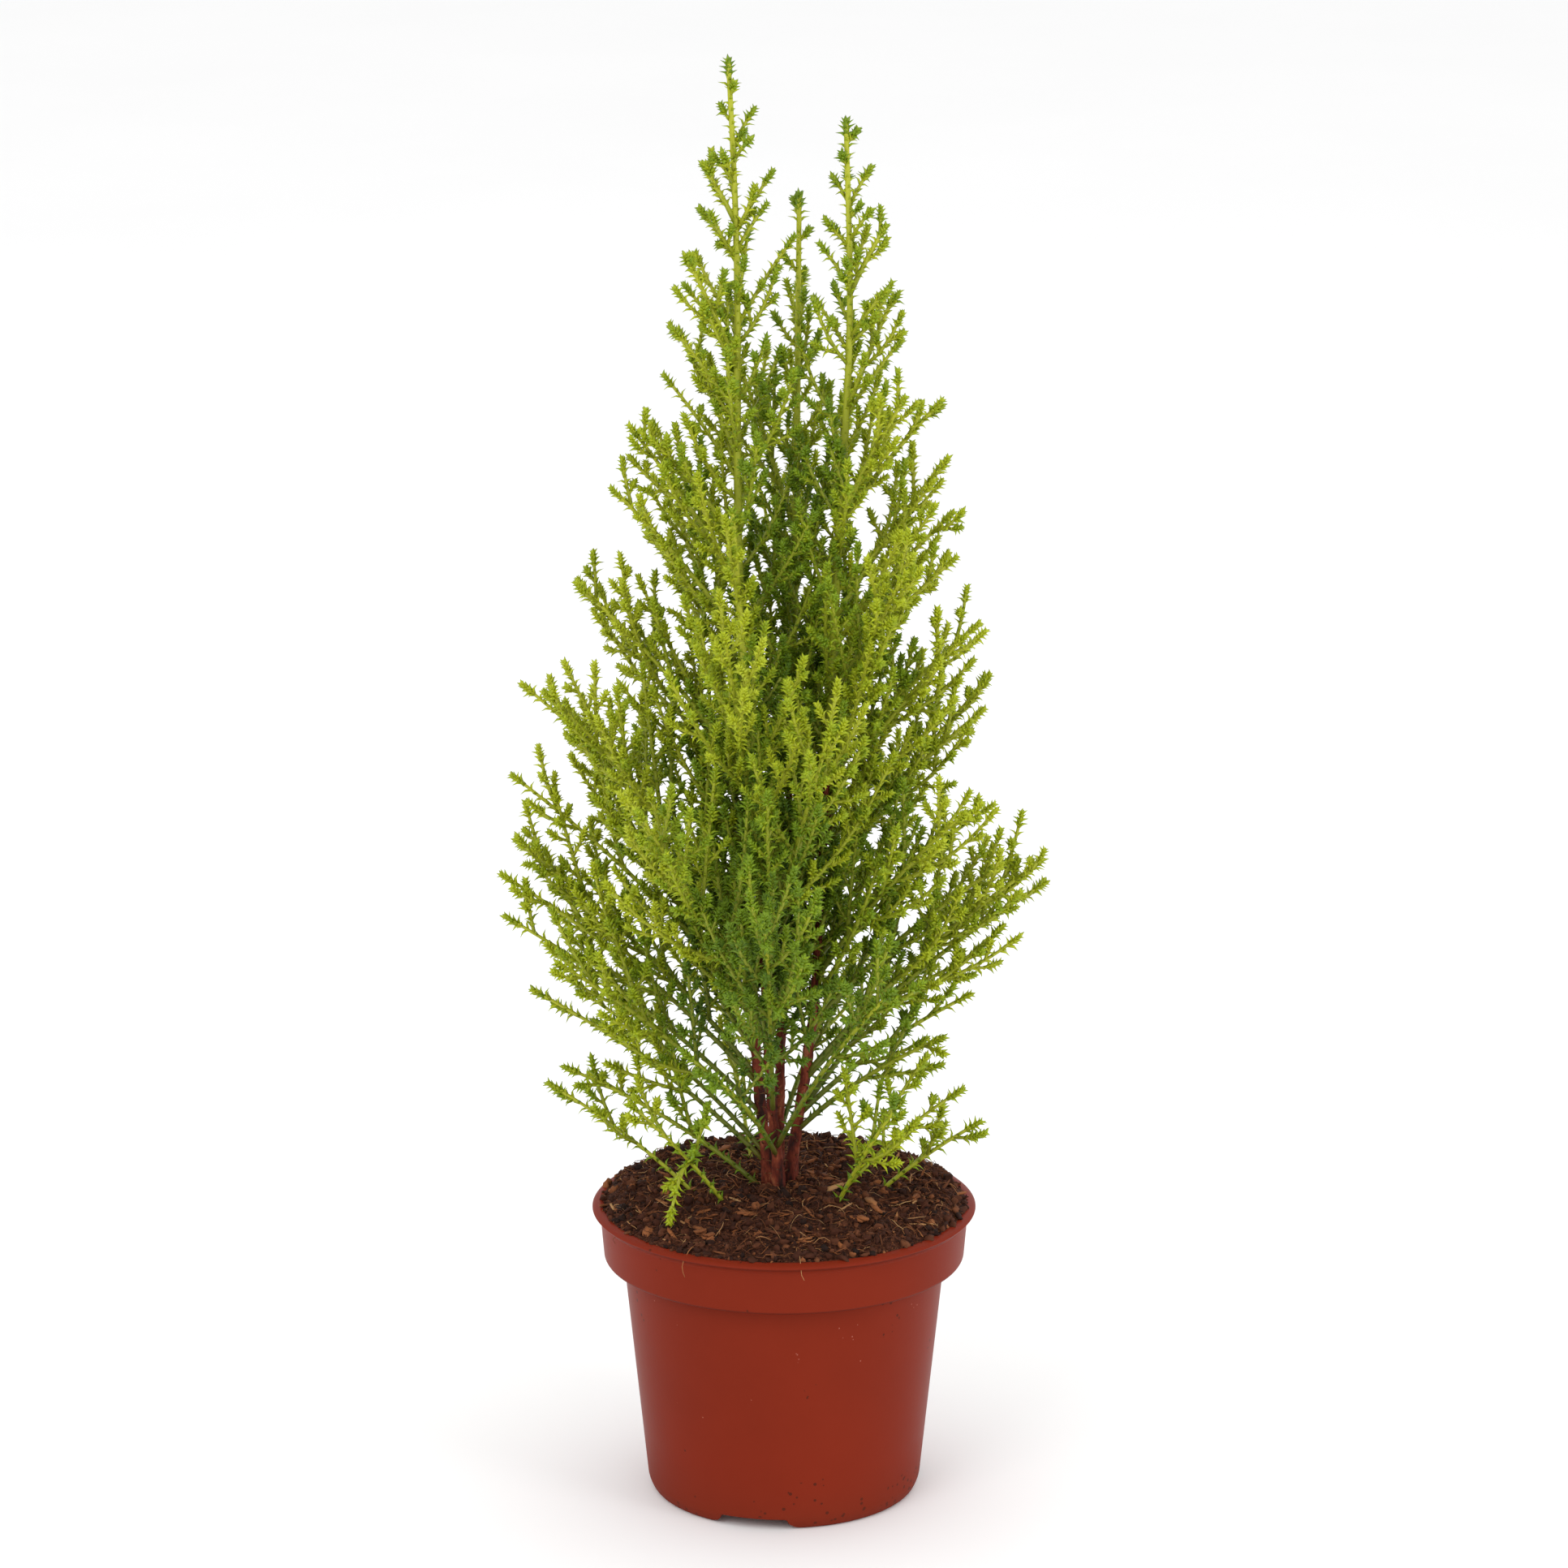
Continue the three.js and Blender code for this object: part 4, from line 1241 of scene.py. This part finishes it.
def edge_shoot(grown, path, tip, rng, leaf):
    """A shoot from a leader to a tip at the edge of the crown: a branch, or a limb if it is short."""
    slope = np.interp(crown_share(tip), [0.1, 0.9], [0.7, 1.6])
    heights = path.points[:, 2]
    reach = abs(tip[0] - np.interp(tip[2], heights, path.points[:, 0]))
    level = min(tip[2] - slope * reach, tip[2] - 4 * MM)
    base = path.place(np.interp(level, heights, path.at))
    if reach > LONG_REACH:
        branch(grown, base, tip, rng, leaf, first=0.3, density=0.4, rise=branch_rise(tip))
    else:
        limb(grown, Path.bent(base, arched(base, tip), tip, 7), rng, leaf, 0.7, spurs=0.6)


def make_leader_shoots(quarter, leaf, green, seed):
    """What grows on a leader itself: dead needles low down, side shoots, and a feathered top."""
    rng = np.random.default_rng(seed)
    grown = Growth()
    path = Path(LEADER_AXES[quarter][0])
    low = Path(path.place(np.linspace(path.length * 0.07, path.length * 0.5, 24)))
    clad(grown, low, rng, leaf, 0.0, size=0.8, until=0.98, woody=True)
    # The upper part of a leader is young, so a green skin covers its wood.
    upper = Path(path.place(np.linspace(path.length * 0.45, path.length - leaf.needle_length * 0.6, 28)))
    grown.twig(upper, 1.65 * MM, 0.85 * MM, 0.66, 1.0, sides=8, step=3 * MM)
    clad(grown, upper, rng, leaf, 0.66, until=0.97)
    top = Path(upper.place(np.linspace(upper.length - 9 * MM, upper.length, 6)))
    clad(grown, top, rng, leaf, 0.6, size=1.3)
    side_shoots(grown, path, rng, leaf)
    for x, z in EDGE_TIPS.get(quarter, []):
        tip = np.array([x * MM, rng.uniform(-9, 9) * MM, z * MM])
        edge_shoot(grown, path, tip, rng, leaf)
    return in_place(grown.piece(f"leader_shoots_{quarter}", green), "foliage")


# ---- Branches and basal shoots -------------------------------------------------------------------------


def make_branch(name, leaf, green, seed):
    """The spray of one CAD branch."""
    rng = np.random.default_rng(seed)
    _, quarter, number = name.split("_")
    start = branch_start(name, quarter)
    _, tip = shoot_ends(name, start)
    share = crown_share(tip)
    first = np.interp(share, [0.15, 0.4], [0.36, 0.12])
    if quarter == "front" and share < LOW_SHARE:
        first = 0.5
    density = np.interp(share, [0.15, 0.3], [0.6, 1.0])
    grown = Growth()
    branch(grown, start, tip, rng, leaf, first, density, branch_rise(tip))
    return in_place(grown.piece(f"spray_{quarter}_{number}", green), "foliage", name)


def make_basal_shoot(name, leaf, green, seed):
    """The spray of one CAD basal shoot, with its limbs."""
    rng = np.random.default_rng(seed)
    points = node_points(name)
    base, tip = shoot_ends(name, points[points[:, 2].argmin()])
    grown = Growth()
    path = branch(grown, base, tip, rng, leaf, first=0.38, density=0.5, rise=0.4, thick=0.8 * MM, age=0.8)
    for share, end in BASAL_LIMBS.get(name.removeprefix("basal_shoot_"), []):
        start, end = path.place(share * path.length), np.array(end) * MM
        droop = max(0.0, start[2] - end[2])
        steer = arched(start, end) + 0.5 * droop * UP
        limb(grown, Path.bent(start, steer, end, 9), rng, leaf, 0.66)
    return in_place(grown.piece(name.replace("shoot", "spray"), green), "foliage", name)


# ---- Stage ---------------------------------------------------------------------------------------------

LIT_POINT = Vector((0.0, 0.0, 0.25))
# Soft boxes: name, place, width and height in metres, power in watts
SOFT_BOXES = (
    ("key", (-1.2, -1.9, 1.8), 1.2, 1.2, 14.0),
    ("fill", (1.7, -1.3, 1.0), 0.7, 1.6, 10.0),
    ("top", (0.1, 0.3, 2.2), 1.6, 1.6, 6.0),
)


def make_floor(stage):
    """A wide, plain floor."""
    floor = bmesh.new()
    bmesh.ops.create_circle(floor, cap_ends=True, segments=64, radius=12.0)
    floor = as_object(floor, "floor")
    made, tree, shader = material("floor_paper", Roughness=0.9, Specular_IOR_Level=0.1)
    blotch, _ = mottled(tree, 3.0, 60.0)
    dim = tuple(0.985 * c for c in stage.floor_colour)
    colour = ramp(tree, [(0.3, dim), (0.7, tuple(stage.floor_colour))], blotch)
    tree.links.new(colour, shader.inputs["Base Color"])
    floor.data.materials.append(made)


def aimed(thing, place, target):
    """Puts a lamp or a camera at a place and points it at a target."""
    thing.location = place
    thing.rotation_euler = (target - thing.location).to_track_quat("-Z", "Y").to_euler()
    bpy.context.scene.collection.objects.link(thing)


def light_stage():
    """A white surround and three soft boxes."""
    world = bpy.data.worlds.new("studio")
    world.use_nodes = True
    background = world.node_tree.nodes["Background"]
    background.inputs["Color"].default_value = (1.0, 1.0, 1.0, 1.0)
    background.inputs["Strength"].default_value = 1.0
    bpy.context.scene.world = world
    for name, place, width, height, power in SOFT_BOXES:
        lamp = bpy.data.lights.new(name, "AREA")
        lamp.shape, lamp.size, lamp.size_y, lamp.energy = "RECTANGLE", width, height, power
        aimed(bpy.data.objects.new(name, lamp), place, LIT_POINT)


def place_camera(stage):
    """The camera, in front of the plant and a little above it."""
    camera = bpy.data.objects.new("camera", bpy.data.cameras.new("camera"))
    camera.data.lens = stage.lens
    camera.data.sensor_width = 36.0
    camera.data.clip_start, camera.data.clip_end = 0.1, 60.0
    place = (0.0, -stage.camera_distance, stage.camera_height)
    aimed(camera, place, Vector((0.0, 0.0, stage.aim_height)))
    bpy.context.scene.camera = camera
    bpy.context.scene.view_settings.view_transform = "Standard"


# ---- Operators -----------------------------------------------------------------------------------------


class CYPRESS_OT_pot(Operator):
    """Make the plastic pot"""

    bl_idname = "cypress.pot"
    bl_label = "Pot"

    def execute(self, context):
        make_pot(context.scene.cypress_pot)
        return {"FINISHED"}


class CYPRESS_OT_mix(Operator):
    """Make the potting mix with its crumbs, fibres and wood chips"""

    bl_idname = "cypress.mix"
    bl_label = "Potting mix"

    def execute(self, context):
        mix = context.scene.cypress_mix
        bits = bits_material(mix)
        make_mix_surface(mix)
        make_crumbs(mix, bits, mix.seed)
        make_fibres(mix, bits, mix.seed + 1)
        make_chips(mix, bits, mix.seed + 2)
        return {"FINISHED"}


class CYPRESS_OT_stems(Operator):
    """Make the leaders' woody stems"""

    bl_idname = "cypress.stems"
    bl_label = "Stems"

    def execute(self, context):
        stem = context.scene.cypress_stems
        bark = bark_material(stem)
        for quarter in QUARTERS:
            make_stem(quarter, stem, bark)
        return {"FINISHED"}


class CYPRESS_OT_foliage(Operator):
    """Grow the leaders' own shoots, the branches and the basal shoots"""

    bl_idname = "cypress.foliage"
    bl_label = "Foliage"

    def execute(self, context):
        leaf = context.scene.cypress_foliage
        green = foliage_material(leaf)
        for k, quarter in enumerate(QUARTERS):
            make_leader_shoots(quarter, leaf, green, leaf.seed + k)
        for prefix, make, offset in (("branch_", make_branch, 100), ("basal_shoot_", make_basal_shoot, 200)):
            names = sorted(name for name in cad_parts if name.startswith(prefix))
            for k, name in enumerate(names):
                make(name, leaf, green, leaf.seed + offset + k)
        return {"FINISHED"}


class CYPRESS_OT_stage(Operator):
    """Set the floor, the lights and the camera"""

    bl_idname = "cypress.stage"
    bl_label = "Stage"

    def execute(self, context):
        stage = context.scene.cypress_stage
        make_floor(stage)
        light_stage()
        place_camera(stage)
        return {"FINISHED"}


class CYPRESS_PT_panel(Panel):
    bl_idname = "CYPRESS_PT_panel"
    bl_label = "Potted cypress"
    bl_space_type = "VIEW_3D"
    bl_region_type = "UI"
    bl_category = "Cypress"

    def draw(self, context):
        for group, operator in GROUPS:
            box = self.layout.box()
            settings = getattr(context.scene, group)
            for key in settings.__annotations__:
                box.prop(settings, key)
            box.operator(operator)


SETTINGS = {
    "cypress_pot": CypressPot,
    "cypress_mix": CypressMix,
    "cypress_stems": CypressStems,
    "cypress_foliage": CypressFoliage,
    "cypress_stage": CypressStage,
}
GROUPS = [(name, name.replace("_", ".")) for name in SETTINGS]
CLASSES = (
    *SETTINGS.values(),
    CYPRESS_OT_pot,
    CYPRESS_OT_mix,
    CYPRESS_OT_stems,
    CYPRESS_OT_foliage,
    CYPRESS_OT_stage,
    CYPRESS_PT_panel,
)


def register():
    for made in CLASSES:
        bpy.utils.register_class(made)
    for name, group in SETTINGS.items():
        setattr(bpy.types.Scene, name, PointerProperty(type=group))


def unregister():
    for name in SETTINGS:
        delattr(bpy.types.Scene, name)
    for made in reversed(CLASSES):
        bpy.utils.unregister_class(made)


def main():
    register()
    bpy.ops.cypress.stage()
    bpy.ops.cypress.pot()
    bpy.ops.cypress.mix()
    bpy.ops.cypress.stems()
    bpy.ops.cypress.foliage()


if __name__ == "__main__":
    main()
